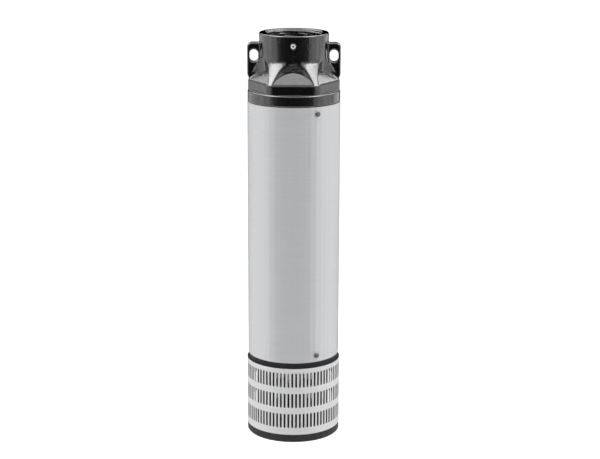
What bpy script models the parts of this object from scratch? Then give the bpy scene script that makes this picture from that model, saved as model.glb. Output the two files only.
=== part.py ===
"""Pump end of a 4 inch borehole pump, standing upright on its motor flange.

The origin is the centre of the underside, +Z points up the well, and the front is towards -Y.
Lengths are in metres. Heights named Z_ are worked out from the driving sizes below.
"""

import math

import bmesh
import bpy
from mathutils import Matrix, Vector

# Clearances
FIT = 0.0003
RUNNING = 0.0005

# How far a cutter or a joined piece reaches past the face it passes
OVERLAP = 0.001

# Roundness: sides of a large turned piece, of an inner piece and of a slim one
LARGE_SIDES = 36
INNER_SIDES = 18
CHAMBER_SIDES = 24
SLIM_SIDES = 12
PIN_SIDES = 10
VANE_STEPS = 3

# Shell tube
SHELL_RADIUS = 0.048
SHELL_WALL = 0.0015
SHELL_SIDES = 48
SHELL_BORE = SHELL_RADIUS - SHELL_WALL
SPIGOT_RADIUS = SHELL_BORE - FIT

# Strainer sleeve
STRAINER_STAND_OUT = 0.0011
STRAINER_SHEET = 0.0008
STRAINER_HEIGHT = 0.0725
SLOTS_ROUND = 76
SLOT_ROWS = 3
SLOT_SHARE = 0.493
SLOT_HEIGHT_SHARE = 0.215
SLOT_ROW_SHARE = 0.3076
LOWEST_SLOT_SHARE = 0.1034
STRAINER_RADIUS = SHELL_RADIUS + STRAINER_STAND_OUT
SLOT_WIDTH = SLOT_SHARE * 2 * math.pi * STRAINER_RADIUS / SLOTS_ROUND
SLOT_HEIGHT = SLOT_HEIGHT_SHARE * STRAINER_HEIGHT
SLOT_ROW_PITCH = SLOT_ROW_SHARE * STRAINER_HEIGHT
LOWEST_SLOT = LOWEST_SLOT_SHARE * STRAINER_HEIGHT

# Shaft, sleeves and bearings
SHAFT_RADIUS = 0.008
SHAFT_COLLAR_HEIGHT = 0.003
SHAFT_THREAD_STEP = 0.002
SLEEVE_WALL = 0.0019
BUSH_WALL = 0.0025
HUB_WALL = 0.0032
HUB_LENGTH = 0.014
BEARING_SPIDER_HEIGHT = 0.014
SPIDER_ARMS = 3
SPIDER_TURN = 90.0
RIB_WIDTH = 0.005
NUT_HEIGHT = 0.0065
NUT_WALL = 0.0035
WASHER_THICKNESS = 0.0015
WASHER_STAND_OUT = 0.0003
SHAFT_THREAD_RADIUS = SHAFT_RADIUS - SHAFT_THREAD_STEP
SLEEVE_BORE = SHAFT_RADIUS + FIT
SLEEVE_RADIUS = SLEEVE_BORE + SLEEVE_WALL
BUSH_BORE = SLEEVE_RADIUS + RUNNING
BUSH_RADIUS = BUSH_BORE + BUSH_WALL
HUB_BORE = BUSH_RADIUS + FIT
HUB_RADIUS = HUB_BORE + HUB_WALL
NUT_ACROSS_FLATS = 2 * (SHAFT_THREAD_RADIUS + NUT_WALL)
WASHER_RADIUS = SLEEVE_RADIUS + WASHER_STAND_OUT

# Coupling to the motor shaft
COUPLING_WALL = 0.0057
COUPLING_BOTTOM = 0.012
COUPLING_TOP = 0.048
SPLINE_ROOT_RADIUS = 0.0083
SPLINE_TIP_RADIUS = 0.0073
SPLINE_TEETH = 14
SPLINE_SHARE = 0.35
SHAFT_GRIP = 0.0075
COUPLING_PIN_RADIUS = 0.002
COUPLING_RADIUS = max(SLEEVE_BORE, SPLINE_ROOT_RADIUS) + COUPLING_WALL

# Suction bracket, from the motor face up
FLANGE_SET_IN = 0.0002
FLANGE_HEIGHT = 0.0085
FLANGE_CHAMFER = 0.0012
REGISTER_RIM = 0.0052
REGISTER_DEPTH = 0.0016
STUD_SET_IN = 0.0056
MOTOR_STUD_HOLE = 0.0087
MOTOR_STUDS = 4
COUPLING_CLEARANCE = 0.007
LOWER_LAND = 0.0068
UPPER_LAND = 0.004
PILLARS = 4
PILLAR_WIDTH = 0.012
PILLAR_DEPTH = 0.009
PILLAR_SET_IN = 0.002
EXPOSED_RING = 0.006
BRACKET_SPIGOT = 0.014
BRACKET_WALL = 0.0042
NECK_LEDGE = 0.0015
FLANGE_RADIUS = STRAINER_RADIUS - FLANGE_SET_IN
REGISTER_RADIUS = FLANGE_RADIUS - REGISTER_RIM
MOTOR_STUD_CIRCLE = 2 * (REGISTER_RADIUS - STUD_SET_IN)
FLANGE_BORE_RADIUS = COUPLING_RADIUS + COUPLING_CLEARANCE
LAND_RADIUS = STRAINER_RADIUS - STRAINER_SHEET - FIT

# Stages
STAGE_COUNT = 3
STAGE_PITCH = 0.070
BOWL_WALL = 0.0022
BULB_SHARE = 0.471
BULB_FOOT_SET_IN = 0.0045
BULB_TOP_STAND_OUT = 0.0053
GUIDE_VANES = 5
GUIDE_VANE_THICKNESS = 0.002
GUIDE_VANE_SWEEP = 0.75
EYE_DEPTH = 0.0128
NECK_RING_WALL = 0.0026
NECK_RING_HEIGHT = 0.0038
BULB_FOOT = BULB_SHARE * STAGE_PITCH
BULB_TOP_RADIUS = SLEEVE_RADIUS + BULB_TOP_STAND_OUT
EYE_RADIUS = SLEEVE_RADIUS + EYE_DEPTH

# Impellers
IMPELLER_CLEARANCE = 0.0035
IMPELLER_HUB_WALL = 0.0035
IMPELLER_HUB_SHARE = 0.486
IMPELLER_SKIRT_WALL = 0.0025
IMPELLER_VANES = 5
IMPELLER_VANE_THICKNESS = 0.002
IMPELLER_VANE_SWEEP = 1.25
SHROUD_THICKNESS = 0.002
FRONT_SHROUD_SHARE = 0.186
BACK_SHROUD_SHARE = 0.200
OUTLET_SHARE = 0.128
IMPELLER_RADIUS = SPIGOT_RADIUS - BOWL_WALL - IMPELLER_CLEARANCE
BULB_FOOT_RADIUS = IMPELLER_RADIUS - BULB_FOOT_SET_IN
IMPELLER_HUB_LENGTH = IMPELLER_HUB_SHARE * STAGE_PITCH
FRONT_SHROUD_RISE = FRONT_SHROUD_SHARE * STAGE_PITCH
BACK_SHROUD_RISE = BACK_SHROUD_SHARE * STAGE_PITCH
OUTLET_WIDTH = OUTLET_SHARE * STAGE_PITCH
SKIRT_OUTER = EYE_RADIUS - RUNNING
NECK_SEAT_RADIUS = EYE_RADIUS + NECK_RING_WALL + FIT
STAGE_PLATE = NECK_RING_HEIGHT + FIT + NECK_LEDGE
IMPELLER_DROP = NECK_RING_HEIGHT - FIT
HUB_DROP = 0.5 * NECK_RING_HEIGHT

# Discharge head
HEAD_SPIGOT = 0.0191
SKIRT_SET_IN = 0.0003
SKIRT_HEIGHT = 0.0115
SKIRT_CHAMFER = 0.0006
BAND_SET_IN = 0.0006
BAND_HEIGHT = 0.0100
BAND_FLAT_DEPTH = 0.0046
FLATS_RISE = 0.0015
CONE_HEIGHT = 0.0217
THREAD_RADIUS = 0.02835
THREAD_LENGTH = 0.026
THREAD_CHAMFER = 0.0015
COLLAR_WALL = 0.00645
COLLAR_TAPER = 0.0010
COLLAR_HEIGHT = 0.0272
RIM_ROUND = 0.0018
CHAMBER_WALL = 0.0067
GUIDE_SHOULDER = 0.0115
THROAT_STEP = 0.00235
THROAT_BELOW_NICHES = 0.004
NICHES = 6
NICHE_ROUNDNESS = 1.225
NICHE_MARGIN = 0.0002
NICHE_FLOOR_SHARE = 0.613
EAR_THICKNESS = 0.0086
EAR_STAND_OUT = 0.0008
EAR_FOOT_RISE = 0.0005
EAR_FOOT_CHAMFER = 0.003
EAR_FOOT_CHAMFER_RISE = 0.004
EAR_ROOT = 0.002
EAR_BELOW_RIM = 0.0102
EAR_CORNER = 0.005
EAR_RIM = 0.00185
EAR_HOLE_GAP = 0.00115
EAR_HOLE_STRAIGHT = 0.0043
EAR_HOLE_BELOW_RIM = 0.0244
SKIRT_RADIUS = SHELL_RADIUS - SKIRT_SET_IN
BAND_RADIUS = SKIRT_RADIUS - BAND_SET_IN
BAND_ACROSS_FLATS = 2 * (BAND_RADIUS - BAND_FLAT_DEPTH)
COLLAR_FOOT_RADIUS = THREAD_RADIUS + COLLAR_WALL
COLLAR_TOP_RADIUS = COLLAR_FOOT_RADIUS + COLLAR_TAPER
CHAMBER_RADIUS = SPIGOT_RADIUS - CHAMBER_WALL
CHAMBER_THROAT_RADIUS = THREAD_RADIUS - THROAT_STEP
NICHE_FLOOR_RISE = NICHE_FLOOR_SHARE * CONE_HEIGHT
EAR_REACH = BAND_RADIUS + EAR_STAND_OUT
EAR_HOLE_WIDTH = EAR_REACH - EAR_RIM - COLLAR_TOP_RADIUS - EAR_HOLE_GAP
EAR_HOLE_HEIGHT = EAR_HOLE_WIDTH + EAR_HOLE_STRAIGHT
EAR_HOLE_OFFSET = EAR_REACH - EAR_RIM - EAR_HOLE_WIDTH / 2

# Check valve
SEAT_HEIGHT = 0.0122
SEAT_STEP = 0.0005
SEAT_LIP_WIDTH = 0.003
VALVE_LIFT = 0.008
POPPET_STAND_OUT = 0.0023
POPPET_EDGE = 0.003
POPPET_CROWN = 0.0035
STEM_RADIUS = 0.004
STEM_REACH = 0.003
SEAL_THICKNESS = 0.002
SEAL_WIDTH = 0.005
GUIDE_HEIGHT = 0.005
GUIDE_RING_WALL = 0.0035
GUIDE_HUB_HEIGHT = 0.014
GUIDE_HUB_WALL = 0.0035
GUIDE_ARM_WIDTH = 0.004
SPRING_WIRE_RADIUS = 0.0007
SPRING_STAND_OUT = 0.003
SPRING_SPARE = 1.25
SPRING_STEPS_ROUND = 10
SPRING_WIRE_SIDES = 5
SEAT_BORE_RADIUS = CHAMBER_THROAT_RADIUS + SEAT_STEP
POPPET_RADIUS = SEAT_BORE_RADIUS + SEAT_LIP_WIDTH + POPPET_STAND_OUT
SPRING_RADIUS = STEM_RADIUS + SPRING_STAND_OUT

# Fasteners
SHELL_SCREW_ANGLE = 31.0
SHELL_SCREW_FROM_END = 0.0071
STRAINER_SCREW_ANGLES = (135.0, 225.0)
SCREW_SHANK_RADIUS = 0.0019
SCREW_LENGTH = 0.0055
SCREW_HEAD_RADIUS = 0.0029
SCREW_HEAD_HEIGHT = 0.0014
SCREW_HEAD_TAPER = 0.7
SCREW_SLOT_WIDTH = 0.0007
SCREW_SLOT_DEPTH = 0.0007
STRAINER_SCREW_RISE = 0.0036
LOCK_SCREW_RADIUS = 0.003
LOCK_SCREW_LENGTH = 0.0072
LOCK_SCREW_BELOW_RIM = 0.0099
LOCK_SOCKET_RADIUS = 0.0016
LOCK_SOCKET_DEPTH = 0.003

# Heights of the seats, bottom to top
Z_STRAINER = FLANGE_HEIGHT
Z_STRAINER_TOP = Z_STRAINER + STRAINER_HEIGHT
Z_SHELL = Z_STRAINER_TOP + EXPOSED_RING
Z_STACK = Z_SHELL + BRACKET_SPIGOT
Z_BEARING = Z_STACK + STAGE_COUNT * STAGE_PITCH
Z_SEAT = Z_BEARING + BEARING_SPIDER_HEIGHT
Z_HEAD_SPIGOT = Z_SEAT + SEAT_HEIGHT
Z_SHELL_TOP = Z_HEAD_SPIGOT + HEAD_SPIGOT
Z_BAND = Z_SHELL_TOP + SKIRT_HEIGHT
Z_CONE = Z_BAND + BAND_HEIGHT
Z_COLLAR = Z_CONE + CONE_HEIGHT
Z_RIM = Z_COLLAR + COLLAR_HEIGHT

# Heights inside the head and on its collar
Z_POPPET = Z_HEAD_SPIGOT + FIT
Z_CROWN = Z_POPPET + SEAL_THICKNESS + FIT + POPPET_EDGE + POPPET_CROWN
Z_GUIDE_SHOULDER = Z_SHELL_TOP + GUIDE_SHOULDER
Z_GUIDE = Z_GUIDE_SHOULDER - FIT - GUIDE_HEIGHT
Z_STRAINER_SCREW = Z_STRAINER + STRAINER_SCREW_RISE
Z_LOWER_SHELL_SCREW = Z_SHELL + SHELL_SCREW_FROM_END
Z_UPPER_SHELL_SCREW = Z_SHELL_TOP - SHELL_SCREW_FROM_END
Z_LOCK_SCREW = Z_RIM - LOCK_SCREW_BELOW_RIM
Z_COUPLING_PIN = COUPLING_TOP - SHAFT_GRIP / 2
Z_NUT_SEAT = Z_SEAT + FIT
Z_SHAFT_COLLAR_TOP = Z_STACK - STAGE_PLATE - HUB_LENGTH - FIT


def clear_scene():
    for item in list(bpy.data.objects):
        bpy.data.objects.remove(item, do_unlink=True)


def make_material(name, colour, roughness, metallic):
    material = bpy.data.materials.new(name)
    material.use_nodes = True
    shader = material.node_tree.nodes["Principled BSDF"]
    shader.inputs["Base Color"].default_value = (*colour, 1.0)
    shader.inputs["Roughness"].default_value = roughness
    shader.inputs["Metallic"].default_value = metallic
    return material


def add_object(name, mesh_data, material=None):
    """Turn a bmesh into a named object with smooth faces and sharp edges."""
    bmesh.ops.recalc_face_normals(mesh_data, faces=mesh_data.faces)
    mesh = bpy.data.meshes.new(name)
    mesh_data.to_mesh(mesh)
    mesh_data.free()
    item = bpy.data.objects.new(name, mesh)
    bpy.context.scene.collection.objects.link(item)
    if material is None:
        item.hide_render = True
        item.display_type = "WIRE"
    else:
        mesh.materials.append(material)
        mesh.shade_smooth()
        mesh.set_sharp_from_angle(angle=math.radians(32))
    return item


def combine(item, other, operation):
    modifier = item.modifiers.new(other.name, "BOOLEAN")
    modifier.operation = operation
    modifier.object = other
    modifier.solver = "EXACT"


def cut(item, name, mesh_data):
    combine(item, add_object(name, mesh_data), "DIFFERENCE")


def join(item, name, mesh_data):
    combine(item, add_object(name, mesh_data), "UNION")


def revolve(profile, sides, mesh_data=None):
    """Turn a closed outline of (radius, height) points about the Z axis."""
    mesh_data = mesh_data or bmesh.new()
    verts = [mesh_data.verts.new((radius, 0.0, height)) for radius, height in profile]
    edges = []
    for index, vert in enumerate(verts):
        following = verts[(index + 1) % len(verts)]
        if vert.co.x > 0.0 or following.co.x > 0.0:
            edges.append(mesh_data.edges.new((vert, following)))
    bmesh.ops.spin(mesh_data, geom=verts + edges, cent=(0, 0, 0), axis=(0, 0, 1),
                   angle=2 * math.pi, steps=sides, use_merge=True)
    bmesh.ops.remove_doubles(mesh_data, verts=mesh_data.verts, dist=1e-7)
    return mesh_data


def tube(inner, outer, low, high, sides, mesh_data=None):
    outline = [(inner, low), (outer, low), (outer, high), (inner, high)]
    return revolve(outline, sides, mesh_data)


def rod(start, end, radius, sides, mesh_data=None):
    """A straight cylinder between two points."""
    mesh_data = mesh_data or bmesh.new()
    start = Vector(start)
    along = Vector(end) - start
    turn = along.to_track_quat("Z", "Y").to_matrix().to_4x4()
    place = Matrix.Translation(start + along / 2) @ turn
    bmesh.ops.create_cone(mesh_data, cap_ends=True, segments=sides, radius1=radius,
                          radius2=radius, depth=along.length, matrix=place)
    return mesh_data


def prism(outline, low, high, mesh_data=None, place=None):
    """Extrude a closed outline of (x, y) points between two heights."""
    mesh_data = mesh_data or bmesh.new()
    place = place or Matrix()
    rings = [[mesh_data.verts.new(place @ Vector((x, y, z))) for x, y in outline] for z in (low, high)]
    mesh_data.faces.new(rings[0])
    mesh_data.faces.new(rings[1])
    close_strip(mesh_data, rings[0], rings[1])
    return mesh_data


def close_strip(mesh_data, first, second):
    count = len(first)
    for index in range(count):
        after = (index + 1) % count
        mesh_data.faces.new((first[index], first[after], second[after], second[index]))


def about_z(degrees):
    return Matrix.Rotation(math.radians(degrees), 4, "Z")


def arc(centre_x, centre_y, radius, start, stop, steps):
    """Points along an arc, with angles in degrees."""
    angles = [math.radians(start + (stop - start) * index / steps) for index in range(steps + 1)]
    return [(centre_x + radius * math.cos(a), centre_y + radius * math.sin(a)) for a in angles]


def bar_outline(inner, outer, width):
    return [(inner, -width / 2), (outer, -width / 2), (outer, width / 2), (inner, width / 2)]


def radial_point(degrees_from_front, radius, height):
    """A point at an angle to the right of the front, seen from outside."""
    angle = math.radians(degrees_from_front - 90.0)
    return Vector((radius * math.cos(angle), radius * math.sin(angle), height))


def build_suction_bracket(material):
    flange_top = Z_STRAINER + LOWER_LAND
    land_bottom = Z_STRAINER_TOP - UPPER_LAND
    wall_bore = SPIGOT_RADIUS - BRACKET_WALL
    plate = Z_STACK - STAGE_PLATE
    flange = [
        (FLANGE_BORE_RADIUS, REGISTER_DEPTH),
        (REGISTER_RADIUS, REGISTER_DEPTH),
        (REGISTER_RADIUS, 0.0),
        (FLANGE_RADIUS - FLANGE_CHAMFER, 0.0),
        (FLANGE_RADIUS, FLANGE_CHAMFER),
        (FLANGE_RADIUS, Z_STRAINER),
        (LAND_RADIUS, Z_STRAINER),
        (LAND_RADIUS, flange_top),
        (FLANGE_BORE_RADIUS, flange_top),
    ]
    body = [
        (wall_bore, land_bottom),
        (LAND_RADIUS, land_bottom),
        (LAND_RADIUS, Z_STRAINER_TOP),
        (SPIGOT_RADIUS, Z_STRAINER_TOP),
        (SPIGOT_RADIUS, Z_STACK),
        (NECK_SEAT_RADIUS, Z_STACK),
        (NECK_SEAT_RADIUS, Z_STACK - NECK_RING_HEIGHT - FIT),
        (EYE_RADIUS, Z_STACK - NECK_RING_HEIGHT - FIT),
        (EYE_RADIUS, plate),
        (wall_bore, plate),
    ]
    bracket = add_object("suction_bracket", revolve(flange, LARGE_SIDES), material)
    join(bracket, "bracket_body", revolve(body, LARGE_SIDES))
    pillars = bmesh.new()
    pillar_outer = LAND_RADIUS - PILLAR_SET_IN
    pillar = bar_outline(pillar_outer - PILLAR_DEPTH, pillar_outer, PILLAR_WIDTH)
    for index in range(PILLARS):
        place = about_z(360.0 * (index + 0.5) / PILLARS)
        prism(pillar, flange_top - OVERLAP, land_bottom + OVERLAP, pillars, place)
    join(bracket, "bracket_pillars", pillars)
    spider = tube(HUB_BORE, HUB_RADIUS, plate - HUB_LENGTH, plate, INNER_SIDES)
    join(bracket, "bracket_hub", spider)
    ribs = bmesh.new()
    rib = bar_outline(HUB_RADIUS - HUB_WALL / 2, wall_bore + OVERLAP, RIB_WIDTH)
    for index in range(PILLARS):
        place = about_z(360.0 * (index + 0.5) / PILLARS)
        prism(rib, plate - HUB_LENGTH + OVERLAP, plate + OVERLAP, ribs, place)
    join(bracket, "bracket_ribs", ribs)
    holes = bmesh.new()
    for index in range(MOTOR_STUDS):
        foot = about_z(360.0 * index / MOTOR_STUDS) @ Vector((MOTOR_STUD_CIRCLE / 2, 0, -OVERLAP))
        rod(foot, foot + Vector((0, 0, flange_top + 2 * OVERLAP)), MOTOR_STUD_HOLE / 2, PIN_SIDES, holes)
    screw_hole(SHELL_SCREW_ANGLE, SPIGOT_RADIUS, Z_LOWER_SHELL_SCREW, holes)
    for angle in STRAINER_SCREW_ANGLES:
        screw_hole(angle, LAND_RADIUS, Z_STRAINER_SCREW, holes)
    cut(bracket, "bracket_holes", holes)


def screw_hole(angle, surface_radius, height, holes):
    """A blind radial hole for one screw."""
    depth = SCREW_LENGTH + FIT
    rod(radial_point(angle, surface_radius + OVERLAP, height),
        radial_point(angle, surface_radius - depth, height),
        SCREW_SHANK_RADIUS + FIT, PIN_SIDES, holes)


def build_screw(name, angle, surface_radius, height, material):
    """A slotted pan head screw, its head on the surface that it clamps."""
    seat = surface_radius + FIT
    head_top = seat + SCREW_HEAD_HEIGHT
    outline = [
        (0.0, -SCREW_LENGTH),
        (SCREW_SHANK_RADIUS, -SCREW_LENGTH),
        (SCREW_SHANK_RADIUS, 0.0),
        (SCREW_HEAD_RADIUS, 0.0),
        (SCREW_HEAD_RADIUS, SCREW_HEAD_HEIGHT / 2),
        (SCREW_HEAD_RADIUS * SCREW_HEAD_TAPER, SCREW_HEAD_HEIGHT),
        (0.0, SCREW_HEAD_HEIGHT),
    ]
    outward = radial_point(angle, 1.0, 0.0).to_track_quat("Z", "Y").to_matrix().to_4x4()
    place = Matrix.Translation(radial_point(angle, seat, height)) @ outward
    body = revolve(outline, PIN_SIDES)
    bmesh.ops.transform(body, matrix=place, verts=body.verts)
    screw = add_object(name, body, material)
    half = SCREW_SLOT_WIDTH / 2
    reach = 2 * SCREW_HEAD_RADIUS
    slot = [(-reach, -half), (reach, -half), (reach, half), (-reach, half)]
    slot_depth = SCREW_HEAD_HEIGHT - SCREW_SLOT_DEPTH
    cut(screw, name + "_slot", prism(slot, slot_depth, head_top - seat + OVERLAP, place=place))


def build_strainer(material):
    """A rolled sheet sleeve with rows of upright slots punched through it."""
    inner = STRAINER_RADIUS - STRAINER_SHEET
    low = Z_STRAINER + FIT
    high = Z_STRAINER_TOP
    levels = [low]
    for row in range(SLOT_ROWS):
        slot_low = Z_STRAINER + LOWEST_SLOT + row * SLOT_ROW_PITCH
        levels += [slot_low, slot_low + SLOT_HEIGHT]
    levels.append(high)
    half_slot = SLOT_WIDTH / STRAINER_RADIUS / 2
    pitch = 2 * math.pi / SLOTS_ROUND
    sheet = bmesh.new()
    columns = []
    for index in range(SLOTS_ROUND):
        for side in (-1, 1):
            angle = index * pitch + side * half_slot
            x, y = math.cos(angle), math.sin(angle)
            column = [[sheet.verts.new((r * x, r * y, z)) for z in levels] for r in (inner, STRAINER_RADIUS)]
            columns.append(column)
    last = len(levels) - 1
    for index, (inside, outside) in enumerate(columns):
        next_inside, next_outside = columns[(index + 1) % len(columns)]
        over_slot = index % 2 == 0
        if over_slot:
            for band in range(0, last, 2):
                bottom, top = band, band + 1
                for here, there in ((inside, next_inside), (outside, next_outside)):
                    sheet.faces.new((here[bottom], there[bottom], there[top], here[top]))
            for level in range(last + 1):
                sheet.faces.new((inside[level], next_inside[level], next_outside[level], outside[level]))
            for row in range(SLOT_ROWS):
                bottom, top = 2 * row + 1, 2 * row + 2
                for inner_edge, outer_edge in ((inside, outside), (next_inside, next_outside)):
                    corners = (inner_edge[bottom], inner_edge[top], outer_edge[top], outer_edge[bottom])
                    sheet.faces.new(corners)
        else:
            for here, there in ((inside, next_inside), (outside, next_outside)):
                sheet.faces.new(here + there[::-1])
            for level in (0, last):
                sheet.faces.new((inside[level], next_inside[level], next_outside[level], outside[level]))
    bmesh.ops.rotate(sheet, verts=sheet.verts, cent=(0, 0, 0), matrix=Matrix.Rotation(-math.pi / 2, 3, "Z"))
    strainer = add_object("strainer", sheet, material)
    holes = bmesh.new()
    for angle in STRAINER_SCREW_ANGLES:
        rod(radial_point(angle, inner - OVERLAP, Z_STRAINER_SCREW),
            radial_point(angle, STRAINER_RADIUS + OVERLAP, Z_STRAINER_SCREW),
            SCREW_SHANK_RADIUS + FIT, PIN_SIDES, holes)
    cut(strainer, "strainer_holes", holes)


def build_shell(material):
    shell = add_object(
        "pump_shell",
        tube(SHELL_BORE, SHELL_RADIUS, Z_SHELL, Z_SHELL_TOP - FIT, SHELL_SIDES),
        material,
    )
    holes = bmesh.new()
    for height in (Z_LOWER_SHELL_SCREW, Z_UPPER_SHELL_SCREW):
        rod(radial_point(SHELL_SCREW_ANGLE, SHELL_BORE - OVERLAP, height),
            radial_point(SHELL_SCREW_ANGLE, SHELL_RADIUS + OVERLAP, height),
            SCREW_SHANK_RADIUS + FIT, PIN_SIDES, holes)
    cut(shell, "shell_holes", holes)


def spiral_vane(radii, lows, highs, angles, thickness, mesh_data):
    """A vane that stands on one curve of radius and angle, between two height curves."""
    corners = []
    for index, radius in enumerate(radii):
        before = max(index - 1, 0)
        after = min(index + 1, len(radii) - 1)
        here = [
            Vector((radii[i] * math.cos(angles[i]), radii[i] * math.sin(angles[i])))
            for i in (before, after)
        ]
        along = (here[1] - here[0]).normalized()
        side = Vector((-along.y, along.x)) * thickness / 2
        middle = Vector((radius * math.cos(angles[index]), radius * math.sin(angles[index])))
        left, right = middle + side, middle - side
        low, high = lows[index], highs[index]
        corners.append([mesh_data.verts.new((*point, z)) for point, z in
                        ((left, low), (right, low), (right, high), (left, high))])
    for first, second in zip(corners, corners[1:]):
        close_strip(mesh_data, first, second)
    mesh_data.faces.new(corners[0])
    mesh_data.faces.new(corners[-1])


def build_impeller(index, material):
    """A closed mixed flow impeller, its eye skirt running in the neck ring below it."""
    base = Z_STACK + index * STAGE_PITCH
    eye = SKIRT_OUTER - IMPELLER_SKIRT_WALL
    hub = SLEEVE_BORE + IMPELLER_HUB_WALL
    skirt_top = base + 2 * SHROUD_THICKNESS
    front_edge = skirt_top + FRONT_SHROUD_RISE
    back_edge = front_edge + OUTLET_WIDTH
    back_foot = back_edge - BACK_SHROUD_RISE
    hub_bottom = base - HUB_DROP
    hub_top = hub_bottom + IMPELLER_HUB_LENGTH
    front = [
        (eye, base - IMPELLER_DROP),
        (SKIRT_OUTER, base - IMPELLER_DROP),
        (SKIRT_OUTER, skirt_top - SHROUD_THICKNESS),
        (IMPELLER_RADIUS, front_edge - SHROUD_THICKNESS),
        (IMPELLER_RADIUS, front_edge),
        (eye, skirt_top),
    ]
    back = [
        (SLEEVE_BORE, hub_bottom),
        (hub, hub_bottom),
        (hub, back_foot),
        (IMPELLER_RADIUS, back_edge),
        (IMPELLER_RADIUS, back_edge + SHROUD_THICKNESS),
        (hub, back_foot + 2 * SHROUD_THICKNESS),
        (hub, hub_top),
        (SLEEVE_BORE, hub_top),
    ]
    impeller = add_object("impeller_%d" % (index + 1), revolve(front, INNER_SIDES), material)
    join(impeller, "impeller_back_%d" % (index + 1), revolve(back, INNER_SIDES))
    vanes = bmesh.new()
    steps = VANE_STEPS
    start = eye
    stop = IMPELLER_RADIUS - 2 * FIT
    radii = [start + (stop - start) * step / steps for step in range(steps + 1)]
    for vane in range(IMPELLER_VANES):
        first = 2 * math.pi * vane / IMPELLER_VANES
        angles = [first - IMPELLER_VANE_SWEEP * step / steps for step in range(steps + 1)]
        lows = []
        highs = []
        for radius in radii:
            share = (radius - eye) / (IMPELLER_RADIUS - eye)
            lows.append(skirt_top + share * FRONT_SHROUD_RISE - SHROUD_THICKNESS / 2)
            back_share = (radius - hub) / (IMPELLER_RADIUS - hub)
            highs.append(back_foot + back_share * BACK_SHROUD_RISE + SHROUD_THICKNESS / 2)
        spiral_vane(radii, lows, highs, angles, IMPELLER_VANE_THICKNESS, vanes)
    join(impeller, "impeller_vanes_%d" % (index + 1), vanes)


def build_diffuser_bowl(index, material):
    """An outer casing, a bulb over the shaft and the guide vanes that hold the bulb."""
    base = Z_STACK + index * STAGE_PITCH
    low = base + FIT
    high = base + STAGE_PITCH
    plate = high - STAGE_PLATE
    wall_bore = SPIGOT_RADIUS - BOWL_WALL
    bulb_low = base + BULB_FOOT
    bulb_high = plate - 3 * BOWL_WALL
    casing = [
        (wall_bore, low),
        (SPIGOT_RADIUS, low),
        (SPIGOT_RADIUS, high),
        (NECK_SEAT_RADIUS, high),
        (NECK_SEAT_RADIUS, high - NECK_RING_HEIGHT - FIT),
        (EYE_RADIUS, high - NECK_RING_HEIGHT - FIT),
        (EYE_RADIUS, plate),
        (wall_bore, plate),
    ]
    running_bore = SLEEVE_RADIUS + RUNNING
    bulb = [
        (running_bore, bulb_low + BOWL_WALL),
        (BULB_FOOT_RADIUS - BOWL_WALL, bulb_low),
        (BULB_FOOT_RADIUS, bulb_low),
        (BULB_FOOT_RADIUS, bulb_low + 2 * BOWL_WALL),
        (BULB_TOP_RADIUS, bulb_high),
        (running_bore, bulb_high),
    ]
    bowl = add_object("diffuser_bowl_%d" % (index + 1), revolve(casing, INNER_SIDES), material)
    join(bowl, "bowl_bulb_%d" % (index + 1), revolve(bulb, INNER_SIDES))
    vanes = bmesh.new()
    steps = VANE_STEPS
    vane_low = bulb_low + BOWL_WALL
    vane_high = plate + NECK_LEDGE / 2
    for vane in range(GUIDE_VANES):
        first = 2 * math.pi * vane / GUIDE_VANES
        sections = []
        for step in range(steps + 1):
            share = step / steps
            height = vane_low + (vane_high - vane_low) * share
            angle = first + GUIDE_VANE_SWEEP * (1 - share) ** 2
            bulb_share = (height - bulb_low - 2 * BOWL_WALL) / (bulb_high - bulb_low - 2 * BOWL_WALL)
            bulb_share = min(max(bulb_share, 0.0), 1.0)
            bulb_radius = BULB_FOOT_RADIUS + (BULB_TOP_RADIUS - BULB_FOOT_RADIUS) * bulb_share
            inner = bulb_radius - BOWL_WALL
            outer = wall_bore + BOWL_WALL / 2
            section = bar_outline(inner, outer, GUIDE_VANE_THICKNESS)
            turn = Matrix.Rotation(angle, 4, "Z")
            sections.append([vanes.verts.new(turn @ Vector((x, y, height))) for x, y in section])
        for lower, upper in zip(sections, sections[1:]):
            close_strip(vanes, lower, upper)
        vanes.faces.new(sections[0])
        vanes.faces.new(sections[-1])
    join(bowl, "bowl_vanes_%d" % (index + 1), vanes)


def build_neck_ring(index, material):
    top = Z_STACK + index * STAGE_PITCH
    ring = tube(EYE_RADIUS, EYE_RADIUS + NECK_RING_WALL, top - NECK_RING_HEIGHT, top, INNER_SIDES)
    add_object("neck_ring_%d" % (index + 1), ring, material)


def impeller_hub_top(index):
    return Z_STACK + index * STAGE_PITCH - HUB_DROP + IMPELLER_HUB_LENGTH


def build_sleeves(material):
    """Spacer sleeves: one in the lower bush, then one above each impeller."""
    spans = [(Z_SHAFT_COLLAR_TOP, Z_STACK - HUB_DROP)]
    for index in range(STAGE_COUNT):
        above = Z_STACK + (index + 1) * STAGE_PITCH - HUB_DROP
        if index == STAGE_COUNT - 1:
            above = Z_NUT_SEAT
        spans.append((impeller_hub_top(index), above))
    for index, (low, high) in enumerate(spans):
        sleeve = tube(SLEEVE_BORE, SLEEVE_RADIUS, low + FIT, high - FIT, SLIM_SIDES)
        add_object("spacer_sleeve_%d" % index, sleeve, material)


def build_bushes(material):
    plate = Z_STACK - STAGE_PLATE
    add_object("lower_bush", tube(BUSH_BORE, BUSH_RADIUS, plate - HUB_LENGTH, plate, INNER_SIDES), material)
    upper = tube(BUSH_BORE, BUSH_RADIUS, Z_BEARING + FIT, Z_SEAT, INNER_SIDES)
    add_object("upper_bush", upper, material)


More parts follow.
